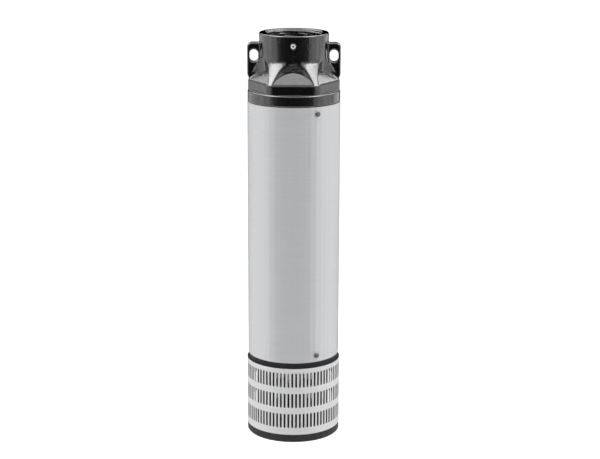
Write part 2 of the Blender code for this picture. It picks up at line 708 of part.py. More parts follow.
def build_bearing_spider(material):
    low = Z_BEARING + FIT
    ring_bore = SPIGOT_RADIUS - BRACKET_WALL
    spider = add_object("bearing_spider", tube(ring_bore, SPIGOT_RADIUS, low, Z_SEAT, INNER_SIDES), material)
    join(spider, "spider_hub", tube(HUB_BORE, HUB_RADIUS, low, Z_SEAT, INNER_SIDES))
    arms = bmesh.new()
    arm = bar_outline(HUB_RADIUS - HUB_WALL / 2, ring_bore + BRACKET_WALL / 4, RIB_WIDTH)
    for index in range(SPIDER_ARMS):
        prism(arm, low + OVERLAP, Z_SEAT - OVERLAP, arms, about_z(360.0 * index / SPIDER_ARMS + SPIDER_TURN))
    join(spider, "spider_arms", arms)


def build_shaft(material):
    collar = SLEEVE_RADIUS
    collar_top = Z_SHAFT_COLLAR_TOP
    collar_low = collar_top - SHAFT_COLLAR_HEIGHT
    bottom = COUPLING_TOP - SHAFT_GRIP
    thread_low = Z_NUT_SEAT - OVERLAP
    top = Z_NUT_SEAT + WASHER_THICKNESS + NUT_HEIGHT + 2 * OVERLAP
    outline = [
        (0.0, bottom),
        (SHAFT_RADIUS, bottom),
        (SHAFT_RADIUS, collar_low),
        (collar, collar_low),
        (collar, collar_top),
        (SHAFT_RADIUS, collar_top),
        (SHAFT_RADIUS, thread_low),
        (SHAFT_THREAD_RADIUS, thread_low),
        (SHAFT_THREAD_RADIUS, top),
        (0.0, top),
    ]
    shaft = add_object("shaft", revolve(outline, SLIM_SIDES), material)
    reach = Vector((COUPLING_RADIUS + OVERLAP, 0, 0))
    height = Vector((0, 0, Z_COUPLING_PIN))
    hole = rod(height - reach, height + reach, COUPLING_PIN_RADIUS + FIT, PIN_SIDES)
    cut(shaft, "shaft_pin_hole", hole)


def build_coupling(material):
    """A sleeve with a splined socket for the motor shaft and a plain bore for the pump shaft."""
    body = rod((0, 0, COUPLING_BOTTOM), (0, 0, COUPLING_TOP), COUPLING_RADIUS, 2 * SLIM_SIDES)
    coupling = add_object("coupling", body, material)
    shelf = COUPLING_TOP - SHAFT_GRIP - FIT
    shaft_bore = rod((0, 0, shelf - OVERLAP), (0, 0, COUPLING_TOP + OVERLAP), SHAFT_RADIUS + FIT, SLIM_SIDES)
    cut(coupling, "coupling_bore", shaft_bore)
    splines = []
    for index in range(2 * SPLINE_TEETH):
        radius = SPLINE_ROOT_RADIUS if index % 2 else SPLINE_TIP_RADIUS
        for side in (-SPLINE_SHARE, SPLINE_SHARE):
            angle = math.pi * (index + side) / SPLINE_TEETH
            splines.append((radius * math.cos(angle), radius * math.sin(angle)))
    cut(coupling, "coupling_splines", prism(splines, COUPLING_BOTTOM - OVERLAP, shelf))
    reach = Vector((COUPLING_RADIUS + OVERLAP, 0, 0))
    height = Vector((0, 0, Z_COUPLING_PIN))
    pin_hole = rod(height - reach, height + reach, COUPLING_PIN_RADIUS + FIT, PIN_SIDES)
    cut(coupling, "coupling_pin_hole", pin_hole)


def build_coupling_pin(material):
    reach = Vector((COUPLING_RADIUS - FIT, 0, 0))
    height = Vector((0, 0, Z_COUPLING_PIN))
    add_object("coupling_pin", rod(height - reach, height + reach, COUPLING_PIN_RADIUS, PIN_SIDES), material)


def build_nut_and_washer(steel):
    seat = Z_NUT_SEAT
    bore = SHAFT_THREAD_RADIUS + FIT
    add_object("shaft_washer", tube(bore, WASHER_RADIUS, seat, seat + WASHER_THICKNESS, SLIM_SIDES), steel)
    low = seat + WASHER_THICKNESS + FIT
    corner = NUT_ACROSS_FLATS / 2 / math.cos(math.pi / 6)
    outline = arc(0, 0, corner, 0, 300, 5)
    nut = add_object("shaft_nut", prism(outline, low, low + NUT_HEIGHT), steel)
    hole = rod((0, 0, low - OVERLAP), (0, 0, low + NUT_HEIGHT + OVERLAP), bore, SLIM_SIDES)
    cut(nut, "nut_bore", hole)


def build_valve_seat(material):
    low = Z_SEAT + FIT
    seat_bore = SPIGOT_RADIUS - BRACKET_WALL
    lip = SEAT_BORE_RADIUS + SEAT_LIP_WIDTH
    web = Z_HEAD_SPIGOT - SEAT_HEIGHT / 3
    outline = [
        (seat_bore, low),
        (SPIGOT_RADIUS, low),
        (SPIGOT_RADIUS, Z_HEAD_SPIGOT - FIT),
        (lip, Z_HEAD_SPIGOT - FIT),
        (lip, Z_HEAD_SPIGOT),
        (SEAT_BORE_RADIUS, Z_HEAD_SPIGOT),
        (SEAT_BORE_RADIUS, web),
        (seat_bore, web),
    ]
    add_object("valve_seat", revolve(outline, INNER_SIDES), material)


def build_poppet(material):
    seal_bore, seal_outer = seal_radii()
    face = Z_POPPET + SEAL_THICKNESS / 4
    groove_top = Z_POPPET + SEAL_THICKNESS + FIT
    edge_top = groove_top + POPPET_EDGE
    stem_top = Z_GUIDE + GUIDE_HUB_HEIGHT + STEM_REACH
    boss = SPRING_RADIUS + 2 * SPRING_WIRE_RADIUS
    outline = [
        (0.0, face),
        (seal_bore - FIT, face),
        (seal_bore - FIT, groove_top),
        (seal_outer + FIT, groove_top),
        (seal_outer + FIT, face),
        (POPPET_RADIUS, face),
        (POPPET_RADIUS, edge_top),
        (boss, Z_CROWN),
        (STEM_RADIUS, Z_CROWN),
        (STEM_RADIUS, stem_top),
        (0.0, stem_top),
    ]
    add_object("valve_poppet", revolve(outline, INNER_SIDES), material)


def seal_radii():
    middle = SEAT_BORE_RADIUS + SEAT_LIP_WIDTH / 2
    return middle - SEAL_WIDTH / 2, middle + SEAL_WIDTH / 2


def build_valve_seal(material):
    seal_bore, seal_outer = seal_radii()
    ring = tube(seal_bore, seal_outer, Z_POPPET, Z_POPPET + SEAL_THICKNESS, INNER_SIDES)
    add_object("valve_seal", ring, material)


def build_valve_guide(material):
    """A ring in the head chamber whose arms hold the bored hub over the poppet stem."""
    ring_radius = CHAMBER_RADIUS - FIT
    ring_bore = ring_radius - GUIDE_RING_WALL
    hub_bore = STEM_RADIUS + RUNNING
    hub = hub_bore + GUIDE_HUB_WALL
    top = Z_GUIDE + GUIDE_HEIGHT
    guide = add_object("valve_guide", tube(ring_bore, ring_radius, Z_GUIDE, top, CHAMBER_SIDES), material)
    join(guide, "guide_hub", tube(hub_bore, hub, Z_GUIDE, Z_GUIDE + GUIDE_HUB_HEIGHT, SLIM_SIDES))
    arms = bmesh.new()
    arm = bar_outline(hub - GUIDE_HUB_WALL / 2, ring_bore + GUIDE_RING_WALL / 4, GUIDE_ARM_WIDTH)
    for index in range(SPIDER_ARMS):
        place = about_z(360.0 * index / SPIDER_ARMS + SPIDER_TURN)
        prism(arm, Z_GUIDE + OVERLAP / 2, top - OVERLAP / 2, arms, place)
    join(guide, "guide_arms", arms)


def build_valve_spring(material):
    """A round wire coil between the poppet crown and the guide hub."""
    low = Z_CROWN + FIT + SPRING_WIRE_RADIUS
    high = Z_GUIDE - FIT - SPRING_WIRE_RADIUS
    turns = int((high - low - VALVE_LIFT) / (2 * SPRING_WIRE_RADIUS) / SPRING_SPARE)
    count = turns * SPRING_STEPS_ROUND
    slope = (high - low) / (turns * 2 * math.pi)
    coil = bmesh.new()
    rings = []
    for step in range(count + 1):
        angle = 2 * math.pi * step / SPRING_STEPS_ROUND
        share = step / count
        outward = Vector((math.cos(angle), math.sin(angle), 0))
        centre = SPRING_RADIUS * outward + Vector((0, 0, low + (high - low) * share))
        around = Vector((-math.sin(angle), math.cos(angle), 0))
        along = (SPRING_RADIUS * around + Vector((0, 0, slope))).normalized()
        upward = along.cross(outward) * -1
        ring = []
        for corner in range(SPRING_WIRE_SIDES):
            turn = 2 * math.pi * corner / SPRING_WIRE_SIDES
            offset = outward * math.cos(turn) + upward * math.sin(turn)
            ring.append(coil.verts.new(centre + offset * SPRING_WIRE_RADIUS))
        rings.append(ring)
    for first, second in zip(rings, rings[1:]):
        close_strip(coil, first, second)
    coil.faces.new(rings[0])
    coil.faces.new(rings[-1])
    add_object("valve_spring", coil, material)


def head_outline():
    points = [
        (0.0, Z_HEAD_SPIGOT),
        (SPIGOT_RADIUS, Z_HEAD_SPIGOT),
        (SPIGOT_RADIUS, Z_SHELL_TOP),
        (SKIRT_RADIUS, Z_SHELL_TOP),
        (SKIRT_RADIUS, Z_BAND - SKIRT_CHAMFER),
        (BAND_RADIUS, Z_BAND),
        (BAND_RADIUS, Z_CONE),
        (COLLAR_FOOT_RADIUS, Z_COLLAR),
    ]
    points += arc(COLLAR_TOP_RADIUS - RIM_ROUND, Z_RIM - RIM_ROUND, RIM_ROUND, 0, 90, 2)
    points.append((0.0, Z_RIM))
    return points


def hexagon(across_flats):
    corner = across_flats / 2 / math.cos(math.pi / 6)
    return arc(0, 0, corner, 0, 300, 5)


def flats_cutter():
    """A ring with a hexagonal hole, which leaves six flats on the band."""
    cutter = bmesh.new()
    low, high = Z_BAND, Z_CONE + FLATS_RISE
    loops = []
    for across in (BAND_ACROSS_FLATS, 2 * SKIRT_RADIUS + BAND_ACROSS_FLATS / 4):
        for height in (low, high):
            loops.append([cutter.verts.new((x, y, height)) for x, y in hexagon(across)])
    inner_low, inner_high, outer_low, outer_high = loops
    close_strip(cutter, inner_low, inner_high)
    close_strip(cutter, outer_low, outer_high)
    close_strip(cutter, inner_low, outer_low)
    close_strip(cutter, inner_high, outer_high)
    return cutter


def niche_cutter(degrees):
    """An upright cylinder with a sloping underside, which scoops one niche out of the cone."""
    flat = BAND_ACROSS_FLATS / 2
    half_flat = math.sqrt(BAND_RADIUS ** 2 - flat ** 2) + NICHE_MARGIN
    radius = NICHE_ROUNDNESS * half_flat
    centre = flat + math.sqrt(radius ** 2 - half_flat ** 2)
    apex = centre - radius
    slope = NICHE_FLOOR_RISE / (flat - apex)
    outer = BAND_RADIUS + 2 * OVERLAP
    reach = math.degrees(math.acos((outer - centre) / radius))
    wall = arc(0.0, 0.0, radius, reach, 360.0 - reach, 10)
    cutter = bmesh.new()
    place = about_z(degrees)
    low_ring = []
    high_ring = []
    for x, y in wall:
        distance = centre + x
        floor = Z_CONE + (flat - distance) * slope
        low_ring.append(cutter.verts.new(place @ Vector((distance, y, floor))))
        high_ring.append(cutter.verts.new(place @ Vector((distance, y, Z_COLLAR))))
    cutter.faces.new(low_ring)
    cutter.faces.new(high_ring)
    close_strip(cutter, low_ring, high_ring)
    return cutter


def ear_plate():
    """One upright plate across the collar, whose two ends are the rope ears."""
    foot = Z_CONE + EAR_FOOT_RISE
    top = Z_RIM - EAR_BELOW_RIM
    inner = COLLAR_FOOT_RADIUS - EAR_ROOT
    right = [(EAR_REACH - EAR_FOOT_CHAMFER, foot), (EAR_REACH, foot + EAR_FOOT_CHAMFER_RISE)]
    right += arc(EAR_REACH - EAR_CORNER, top - EAR_CORNER, EAR_CORNER, 0, 90, 4)
    outline = [(inner, foot)] + right + [(inner, top)]
    plate = bmesh.new()
    upright = Matrix.Rotation(math.pi / 2, 4, "X")
    half = EAR_THICKNESS / 2
    prism(outline, -half, half, plate, upright)
    prism([(-x, z) for x, z in outline], -half, half, plate, upright)
    return plate


def oval(width, height, centre_x, centre_y):
    """A hole with straight sides and round ends."""
    radius = width / 2
    rise = height / 2 - radius
    upper = arc(centre_x, centre_y + rise, radius, 0, 180, 6)
    lower = arc(centre_x, centre_y - rise, radius, 180, 360, 6)
    return upper + lower


def build_head(material):
    """The cast discharge head: skirt, hexagon band, scooped cone, threaded collar and two ears."""
    head = add_object("discharge_head", revolve(head_outline(), LARGE_SIDES), material)
    cut(head, "head_flats", flats_cutter())
    for index in range(NICHES):
        cut(head, "head_niche_%d" % index, niche_cutter(360.0 / NICHES * index + 90.0))
    join(head, "head_ears", ear_plate())
    thread_low = Z_RIM - THREAD_LENGTH
    throat_top = thread_low - (THREAD_RADIUS - CHAMBER_THROAT_RADIUS)
    throat = Z_CONE + NICHE_FLOOR_RISE - THROAT_BELOW_NICHES
    chamber = [
        (0.0, Z_HEAD_SPIGOT - OVERLAP),
        (CHAMBER_RADIUS, Z_HEAD_SPIGOT - OVERLAP),
        (CHAMBER_RADIUS, Z_GUIDE_SHOULDER),
        (CHAMBER_RADIUS - GUIDE_RING_WALL / 2, Z_GUIDE_SHOULDER),
        (CHAMBER_THROAT_RADIUS, throat),
        (CHAMBER_THROAT_RADIUS, throat_top),
        (THREAD_RADIUS, thread_low),
        (THREAD_RADIUS, Z_RIM - THREAD_CHAMFER),
        (THREAD_RADIUS + 2 * THREAD_CHAMFER, Z_RIM + THREAD_CHAMFER),
        (0.0, Z_RIM + THREAD_CHAMFER),
    ]
    cut(head, "head_chamber", revolve(chamber, CHAMBER_SIDES))
    holes = bmesh.new()
    upright = Matrix.Rotation(math.pi / 2, 4, "X")
    hole_height = Z_RIM - EAR_HOLE_BELOW_RIM
    for side in (-1, 1):
        outline = oval(EAR_HOLE_WIDTH, EAR_HOLE_HEIGHT, side * EAR_HOLE_OFFSET, hole_height)
        prism(outline, -EAR_THICKNESS, EAR_THICKNESS, holes, upright)
    rod(radial_point(0.0, THREAD_RADIUS - 2 * OVERLAP, Z_LOCK_SCREW),
        radial_point(0.0, COLLAR_TOP_RADIUS + OVERLAP, Z_LOCK_SCREW),
        LOCK_SCREW_RADIUS + FIT, PIN_SIDES, holes)
    screw_hole(SHELL_SCREW_ANGLE, SPIGOT_RADIUS, Z_UPPER_SHELL_SCREW, holes)
    cut(head, "head_holes", holes)


def build_lock_screw(material):
    """A grub screw in the collar, which locks the riser pipe."""
    face = COLLAR_TOP_RADIUS
    screw = add_object(
        "riser_lock_screw",
        rod(radial_point(0.0, face - LOCK_SCREW_LENGTH, Z_LOCK_SCREW), radial_point(0.0, face, Z_LOCK_SCREW),
            LOCK_SCREW_RADIUS, PIN_SIDES),
        material,
    )
    socket = rod(radial_point(0.0, face - LOCK_SOCKET_DEPTH, Z_LOCK_SCREW),
                 radial_point(0.0, face + OVERLAP, Z_LOCK_SCREW), LOCK_SOCKET_RADIUS, 6)
    cut(screw, "lock_screw_socket", socket)


def main():
    clear_scene()
    cast_iron = make_material("cast_iron_black", (0.018, 0.018, 0.020), 0.38, 0.3)
    stainless = make_material("stainless_satin", (0.62, 0.63, 0.65), 0.34, 1.0)
    stainless_sheet = make_material("stainless_sheet", (0.70, 0.70, 0.71), 0.42, 0.9)
    steel = make_material("shaft_steel", (0.52, 0.53, 0.55), 0.30, 1.0)
    polymer = make_material("stage_polymer", (0.06, 0.07, 0.08), 0.45, 0.0)
    rubber = make_material("seal_rubber", (0.02, 0.02, 0.02), 0.75, 0.0)
    brass = make_material("valve_brass", (0.60, 0.43, 0.18), 0.35, 1.0)
    build_suction_bracket(cast_iron)
    build_strainer(stainless_sheet)
    build_shell(stainless)
    build_screw("lower_shell_screw", SHELL_SCREW_ANGLE, SHELL_RADIUS, Z_LOWER_SHELL_SCREW, stainless)
    build_screw("upper_shell_screw", SHELL_SCREW_ANGLE, SHELL_RADIUS, Z_UPPER_SHELL_SCREW, stainless)
    for name, angle in zip(("strainer_screw_right", "strainer_screw_left"), STRAINER_SCREW_ANGLES):
        build_screw(name, angle, STRAINER_RADIUS, Z_STRAINER_SCREW, stainless)
    for index in range(STAGE_COUNT):
        build_diffuser_bowl(index, polymer)
        build_neck_ring(index, rubber)
        build_impeller(index, stainless)
    build_sleeves(steel)
    build_bushes(rubber)
    build_bearing_spider(cast_iron)
    build_shaft(steel)
    build_coupling(steel)
    build_coupling_pin(steel)
    build_nut_and_washer(steel)
    build_valve_seat(brass)
    build_poppet(brass)
    build_valve_seal(rubber)
    build_valve_guide(brass)
    build_valve_spring(steel)
    build_head(cast_iron)
    build_lock_screw(stainless)


main()
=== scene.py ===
"""The looks of the borehole pump end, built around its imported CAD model."""

import math

import bpy
import numpy as np
from mathutils import Matrix, Vector


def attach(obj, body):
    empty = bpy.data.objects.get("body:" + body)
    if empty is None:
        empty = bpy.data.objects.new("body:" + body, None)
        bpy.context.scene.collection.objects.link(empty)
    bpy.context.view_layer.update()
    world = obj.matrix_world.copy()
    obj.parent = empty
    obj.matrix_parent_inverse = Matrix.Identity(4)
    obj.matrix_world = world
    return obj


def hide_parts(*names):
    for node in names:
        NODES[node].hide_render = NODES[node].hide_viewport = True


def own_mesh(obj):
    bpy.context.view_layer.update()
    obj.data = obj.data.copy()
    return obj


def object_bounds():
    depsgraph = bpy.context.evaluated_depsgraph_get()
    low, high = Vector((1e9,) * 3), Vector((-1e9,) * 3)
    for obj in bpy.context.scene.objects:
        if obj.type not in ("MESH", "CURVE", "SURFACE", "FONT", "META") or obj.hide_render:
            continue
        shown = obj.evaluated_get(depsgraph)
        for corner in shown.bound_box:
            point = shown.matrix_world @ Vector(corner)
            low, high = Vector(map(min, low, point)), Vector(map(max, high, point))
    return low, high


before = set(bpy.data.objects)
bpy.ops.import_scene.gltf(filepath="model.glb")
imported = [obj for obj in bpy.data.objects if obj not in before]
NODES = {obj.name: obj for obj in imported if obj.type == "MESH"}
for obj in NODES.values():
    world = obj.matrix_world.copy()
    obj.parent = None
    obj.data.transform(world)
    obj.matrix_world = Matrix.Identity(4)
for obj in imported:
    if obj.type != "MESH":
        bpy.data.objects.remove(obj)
BOUNDS_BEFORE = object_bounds()

# Camera, fitted to the rims of the tube in the photograph
CAMERA_RANGE = 1.7074
CAMERA_HEIGHT = 0.6374
CAMERA_AZIMUTH = 1.2
CAMERA_TILT = 0.2403
CAMERA_ROLL = 0.0022
CAMERA_LENS = 100.39
SENSOR_WIDTH = 36.0
CAMERA_SHIFT = 0.0107

# Studio, in metres
FLOOR_SIZE = 14.0
FLOOR_DROP = 0.0002
FLOOR_GREY = 0.86
FLOOR_GLOW = 0.62
# A painted shadow: a soft grey ellipse on the floor behind the object, which keeps the slots
# dark. It runs from its level in the core to none at the rim
SHADE_PLACE = (0.0, 0.15)
SHADE_REACH = (0.058, 0.18)
SHADE_LEVEL = 0.25
SHADE_CORE, SHADE_RIM = 0.4, 1.0
# The room that glossy rays see. DARK is a zone in front of the object, with a narrow one right
# behind it, BACK a dim band behind it just above eye level, BRIGHT a zone higher up, and TOP the
# ceiling. ACROSS runs from 0 behind the object to 1 in front of it, and UPWARDS over the height
# of the direction, from 0 straight down to 1 straight up
DARK_ACROSS = ((0.0, 0.9), (0.035, 0.9), (0.09, 0.0), (0.74, 0.0), (0.825, 0.85), (0.90, 0.93),
               (0.985, 0.98), (1.0, 0.98))
DARK_UPWARDS = ((0.0, 0.0), (0.25, 0.0), (0.31, 1.0), (0.57, 1.0), (0.66, 0.0), (1.0, 0.0))
BRIGHT_ACROSS = ((0.0, 0.0), (0.09, 0.15), (0.14, 0.4), (0.25, 0.4), (0.35, 0.25), (0.50, 0.4),
                 (0.55, 1.0), (0.81, 1.0), (0.91, 0.0), (1.0, 0.0))
BRIGHT_UPWARDS = ((0.0, 0.0), (0.66, 0.0), (0.74, 1.0), (0.90, 1.0), (0.97, 0.3), (1.0, 0.3))
BRIGHT_EXTRA = 6.0
BACK_ACROSS = ((0.0, 0.45), (0.10, 0.5), (0.25, 0.4), (0.50, 0.4), (0.575, 0.0), (1.0, 0.0))
BACK_UPWARDS = ((0.0, 0.0), (0.53, 0.0), (0.57, 1.0), (0.66, 1.0), (0.70, 0.0), (1.0, 0.0))
TOP_ACROSS = ((0.0, 0.5), (0.20, 0.5), (0.45, 0.0), (0.70, 0.0), (0.90, 1.0), (1.0, 1.0))
TOP_UPWARDS = ((0.0, 0.0), (0.88, 0.0), (0.95, 1.0), (1.0, 1.0))
TOP_EXTRA = 1.5
CLOUD_SCALE, CLOUD_DETAIL, CLOUD_ROUGHNESS = 9.0, 2.0, 0.7
CLOUD_LOW, CLOUD_HIGH = 0.35, 1.65
# The level of the room for the rays that are neither glossy nor the camera's
ROOM_LIGHT = 0.45
# Softboxes, all aimed at one point
LIGHTS_AIM = (0.0, 0.0, 0.40)
SIDE_BOX_TURN, SIDE_BOX_RISE, SIDE_BOX_RANGE = 60.0, 52.0, 1.5
SIDE_BOX_SIZE, SIDE_BOX_POWER = 0.7, 9.0
TOP_BOX_PLACE, TOP_BOX_SIZE, TOP_BOX_POWER = (0.0, -0.2, 2.0), 1.2, 10.0

# Meshes are built in millimetres and scaled to metres
MM = 0.001
SHARP_ANGLE = 35.0


# Node helpers
def new_material(name, colour, roughness, metallic=0.0):
    """A material, its node tree and its shader."""
    material = bpy.data.materials.new(name)
    material.use_nodes = True
    shader = material.node_tree.nodes["Principled BSDF"]
    shader.inputs["Base Color"].default_value = (*colour, 1.0)
    shader.inputs["Roughness"].default_value = roughness
    shader.inputs["Metallic"].default_value = metallic
    return material, material.node_tree, shader


def object_point(tree, stretch=(1.0, 1.0, 1.0)):
    """Object coordinates, stretched, as the place to read a pattern at."""
    where = tree.nodes.new("ShaderNodeTexCoord")
    mapping = tree.nodes.new("ShaderNodeMapping")
    mapping.inputs["Scale"].default_value = stretch
    tree.links.new(where.outputs["Object"], mapping.inputs["Vector"])
    return mapping.outputs["Vector"]


def noise(tree, point, scale, detail=3.0, roughness=0.5):
    """A cloudy pattern from 0 to 1."""
    node = tree.nodes.new("ShaderNodeTexNoise")
    node.inputs["Scale"].default_value = scale
    node.inputs["Detail"].default_value = detail
    node.inputs["Roughness"].default_value = roughness
    tree.links.new(point, node.inputs["Vector"])
    return node.outputs["Fac"]


def spread(tree, value, low, high, from_low=0.3, from_high=0.7):
    """A level between two others, chosen by a pattern."""
    node = tree.nodes.new("ShaderNodeMapRange")
    node.inputs["From Min"].default_value = from_low
    node.inputs["From Max"].default_value = from_high
    node.inputs["To Min"].default_value = low
    node.inputs["To Max"].default_value = high
    tree.links.new(value, node.inputs["Value"])
    return node.outputs["Result"]


def tint(tree, value, first, second, from_low=0.3, from_high=0.7):
    """A colour between two others, chosen by a pattern."""
    node = tree.nodes.new("ShaderNodeValToRGB")
    node.color_ramp.elements[0].position = from_low
    node.color_ramp.elements[0].color = (*first, 1.0)
    node.color_ramp.elements[1].position = from_high
    node.color_ramp.elements[1].color = (*second, 1.0)
    tree.links.new(value, node.inputs["Fac"])
    return node.outputs["Color"]


def bump(tree, shader, value, distance, strength=1.0):
    """Raise a surface by a pattern, in metres."""
    node = tree.nodes.new("ShaderNodeBump")
    node.inputs["Distance"].default_value = distance
    node.inputs["Strength"].default_value = strength
    tree.links.new(value, node.inputs["Height"])
    tree.links.new(node.outputs["Normal"], shader.inputs["Normal"])


def painted_casting():
    """Glossy black enamel over a sand casting."""
    material, tree, shader = new_material("painted_casting", (0.004, 0.004, 0.0045), 0.24)
    shader.inputs["Specular IOR Level"].default_value = 1.0
    shader.inputs["Coat Weight"].default_value = 0.5
    shader.inputs["Coat Roughness"].default_value = 0.07
    point = object_point(tree)
    skin = noise(tree, point, 420.0, detail=1.0)
    tree.links.new(spread(tree, noise(tree, point, 160.0), 0.10, 0.17), shader.inputs["Roughness"])
    bump(tree, shader, skin, 0.00024)
    return material


def dull_casting():
    """Dark grey casting with a dry finish."""
    material, tree, shader = new_material("dull_casting", (0.030, 0.030, 0.032), 0.55)
    shader.inputs["Specular IOR Level"].default_value = 0.25
    point = object_point(tree)
    tree.links.new(spread(tree, noise(tree, point, 300.0), 0.5, 0.68), shader.inputs["Roughness"])
    tree.links.new(
        tint(tree, noise(tree, point, 220.0), (0.024, 0.024, 0.026), (0.034, 0.034, 0.036)),
        shader.inputs["Base Color"],
    )
    bump(tree, shader, noise(tree, point, 1100.0, detail=2.0), 0.00006, strength=0.6)
    return material


def satin_tube():
    """Stainless tube ground round its girth."""
    material, tree, shader = new_material("satin_tube", (0.70, 0.705, 0.715), 0.33, metallic=0.33)
    shader.inputs["Anisotropic"].default_value = 0.5
    shader.inputs["Specular IOR Level"].default_value = 0.25
    tangent = tree.nodes.new("ShaderNodeTangent")
    tangent.direction_type = "RADIAL"
    tangent.axis = "Z"
    tree.links.new(tangent.outputs["Tangent"], shader.inputs["Tangent"])
    point = object_point(tree, (30.0, 30.0, 3000.0))
    lines = noise(tree, point, 1.0, roughness=0.6)
    tree.links.new(spread(tree, lines, 0.30, 0.36), shader.inputs["Roughness"])
    tree.links.new(
        tint(tree, lines, (0.67, 0.675, 0.685), (0.73, 0.735, 0.745)), shader.inputs["Base Color"]
    )
    return material


def strainer_sheet():
    """Matt stainless sheet."""
    material, tree, shader = new_material("strainer_sheet", (0.70, 0.70, 0.705), 0.5, metallic=0.35)
    speckle = noise(tree, object_point(tree), 1500.0, detail=2.0, roughness=0.6)
    tree.links.new(spread(tree, speckle, 0.45, 0.58), shader.inputs["Roughness"])
    tree.links.new(
        tint(tree, speckle, (0.70, 0.70, 0.705), (0.80, 0.80, 0.805)), shader.inputs["Base Color"]
    )
    bump(tree, shader, speckle, 0.00002, strength=0.5)
    return material


def plain_metal(name, colour, roughness, grain=700.0):
    """A metal whose tone and roughness vary finely."""
    material, tree, shader = new_material(name, colour, roughness, metallic=1.0)
    value = noise(tree, object_point(tree), grain)
    tree.links.new(spread(tree, value, roughness * 0.85, roughness * 1.2), shader.inputs["Roughness"])
    darker = tuple(0.9 * part for part in colour)
    tree.links.new(tint(tree, value, darker, colour), shader.inputs["Base Color"])
    return material


def plain_matt(name, colour, roughness, grain=500.0):
    """A polymer, rubber or plating whose tone and roughness vary finely."""
    material, tree, shader = new_material(name, colour, roughness)
    value = noise(tree, object_point(tree), grain)
    tree.links.new(spread(tree, value, roughness * 0.85, roughness * 1.15), shader.inputs["Roughness"])
    darker = tuple(0.8 * part for part in colour)
    tree.links.new(tint(tree, value, darker, colour), shader.inputs["Base Color"])
    return material


def dress(material, *names):
    """Put a material in the slots of CAD nodes."""
    for name in names:
        for slot in NODES[name].material_slots:
            slot.material = material


def numbered(name, count, first=1):
    """The names of the nodes of a numbered family."""
    return ["%s_%d" % (name, index) for index in range(first, first + count)]


def dress_nodes():
    """Dress the CAD nodes, and give the materials that the finer pieces use."""
    finishes = {
        "casting": painted_casting(),
        "dull": dull_casting(),
        "steel": plain_metal("turned_steel", (0.52, 0.53, 0.55), 0.24),
        "pressed": plain_metal("pressed_stainless", (0.60, 0.61, 0.62), 0.30),
        "brass": plain_metal("turned_brass", (0.66, 0.47, 0.20), 0.26),
        "screw": plain_metal("screw_steel", (0.18, 0.18, 0.185), 0.24),
        "polymer": plain_matt("stage_polymer", (0.050, 0.055, 0.062), 0.42),
        "rubber": plain_matt("moulded_rubber", (0.018, 0.018, 0.018), 0.7),
        "tube": satin_tube(),
        "sheet": strainer_sheet(),
        # A dark metal for the coupling and its pin: painted shade inside the strainer, not a blackened
        # finish
        "black": plain_metal("dark_steel_painted_shade", (0.07, 0.07, 0.072), 0.42),
        "plated": plain_matt("plated_screw", (0.80, 0.80, 0.80), 0.5),
        # A darker metal for the strainer's inner faces: painted shade inside the sleeve
        "inside": plain_metal("sheet_inside_painted_shade", (0.11, 0.11, 0.113), 0.5),
    }
    dress(finishes["casting"], "discharge_head")
    dress(finishes["dull"], "suction_bracket", "bearing_spider")
    dress(finishes["tube"], "pump_shell")
    dress(finishes["sheet"], "strainer")
    # The coupling and its pin are dark for painted shade inside the strainer
    dress(finishes["black"], "coupling", "coupling_pin")
    dress(finishes["steel"], "shaft", "shaft_washer", "shaft_nut", "valve_spring",
          *numbered("spacer_sleeve", 4, first=0))
    dress(finishes["pressed"], "lower_shell_screw", "upper_shell_screw", "strainer_screw_right",
          "strainer_screw_left", "riser_lock_screw", *numbered("impeller", 3))
    dress(finishes["brass"], "valve_seat", "valve_poppet", "valve_guide")
    dress(finishes["polymer"], *numbered("diffuser_bowl", 3))
    dress(finishes["rubber"], "lower_bush", "upper_bush", "valve_seal", *numbered("neck_ring", 3))
    return finishes


# Implicit surfaces, in millimetres
ROUNDS_TO_SURFACE = 4
FLATTEST_SLOPE = 0.2


def soft_max(a, b, radius):
    """The larger of two fields, with the edge between them rounded."""
    mix = np.clip(0.5 - 0.5 * (b - a) / radius, 0.0, 1.0)
    return b + (a - b) * mix + radius * mix * (1.0 - mix)


def soft_min(a, b, radius):
    """The smaller of two fields, with the corner between them filled."""
    return -soft_max(-a, -b, radius)


def slab(z, low, high):
    """The field of the space between two heights."""
    return np.maximum(low - z, z - high)


def grid_cells(value):
    """The cells of a grid that the surface passes, and the number of each of them."""
    inside = value < 0
    count = np.zeros(tuple(size - 1 for size in value.shape), np.int8)
    for dx in (0, 1):
        for dy in (0, 1):
            for dz in (0, 1):
                stop = [size - 1 + d for size, d in zip(value.shape, (dx, dy, dz))]
                count += inside[dx:stop[0], dy:stop[1], dz:stop[2]]
    active = (count > 0) & (count < 8)
    number = np.full(active.shape, -1, np.int64)
    number[active] = np.arange(np.count_nonzero(active))
    return inside, np.argwhere(active), number


def crossing_points(value, cells):
    """The mean of the points where the edges of each cell cross the surface."""
    total = np.zeros((len(cells), 3))
    hits = np.zeros(len(cells))
    for axis in range(3):
        along = np.eye(3, dtype=int)[axis]
        others = [np.eye(3, dtype=int)[other] for other in range(3) if other != axis]
        for first in (0, 1):
            for second in (0, 1):
                start = cells + first * others[0] + second * others[1]
                stop = start + along
                low = value[tuple(start.T)]
                high = value[tuple(stop.T)]
                crosses = (low < 0) != (high < 0)
                share = low[crosses] / (low[crosses] - high[crosses])
                total[crosses] += start[crosses] + share[:, None] * along
                hits[crosses] += 1
    return total / hits[:, None]


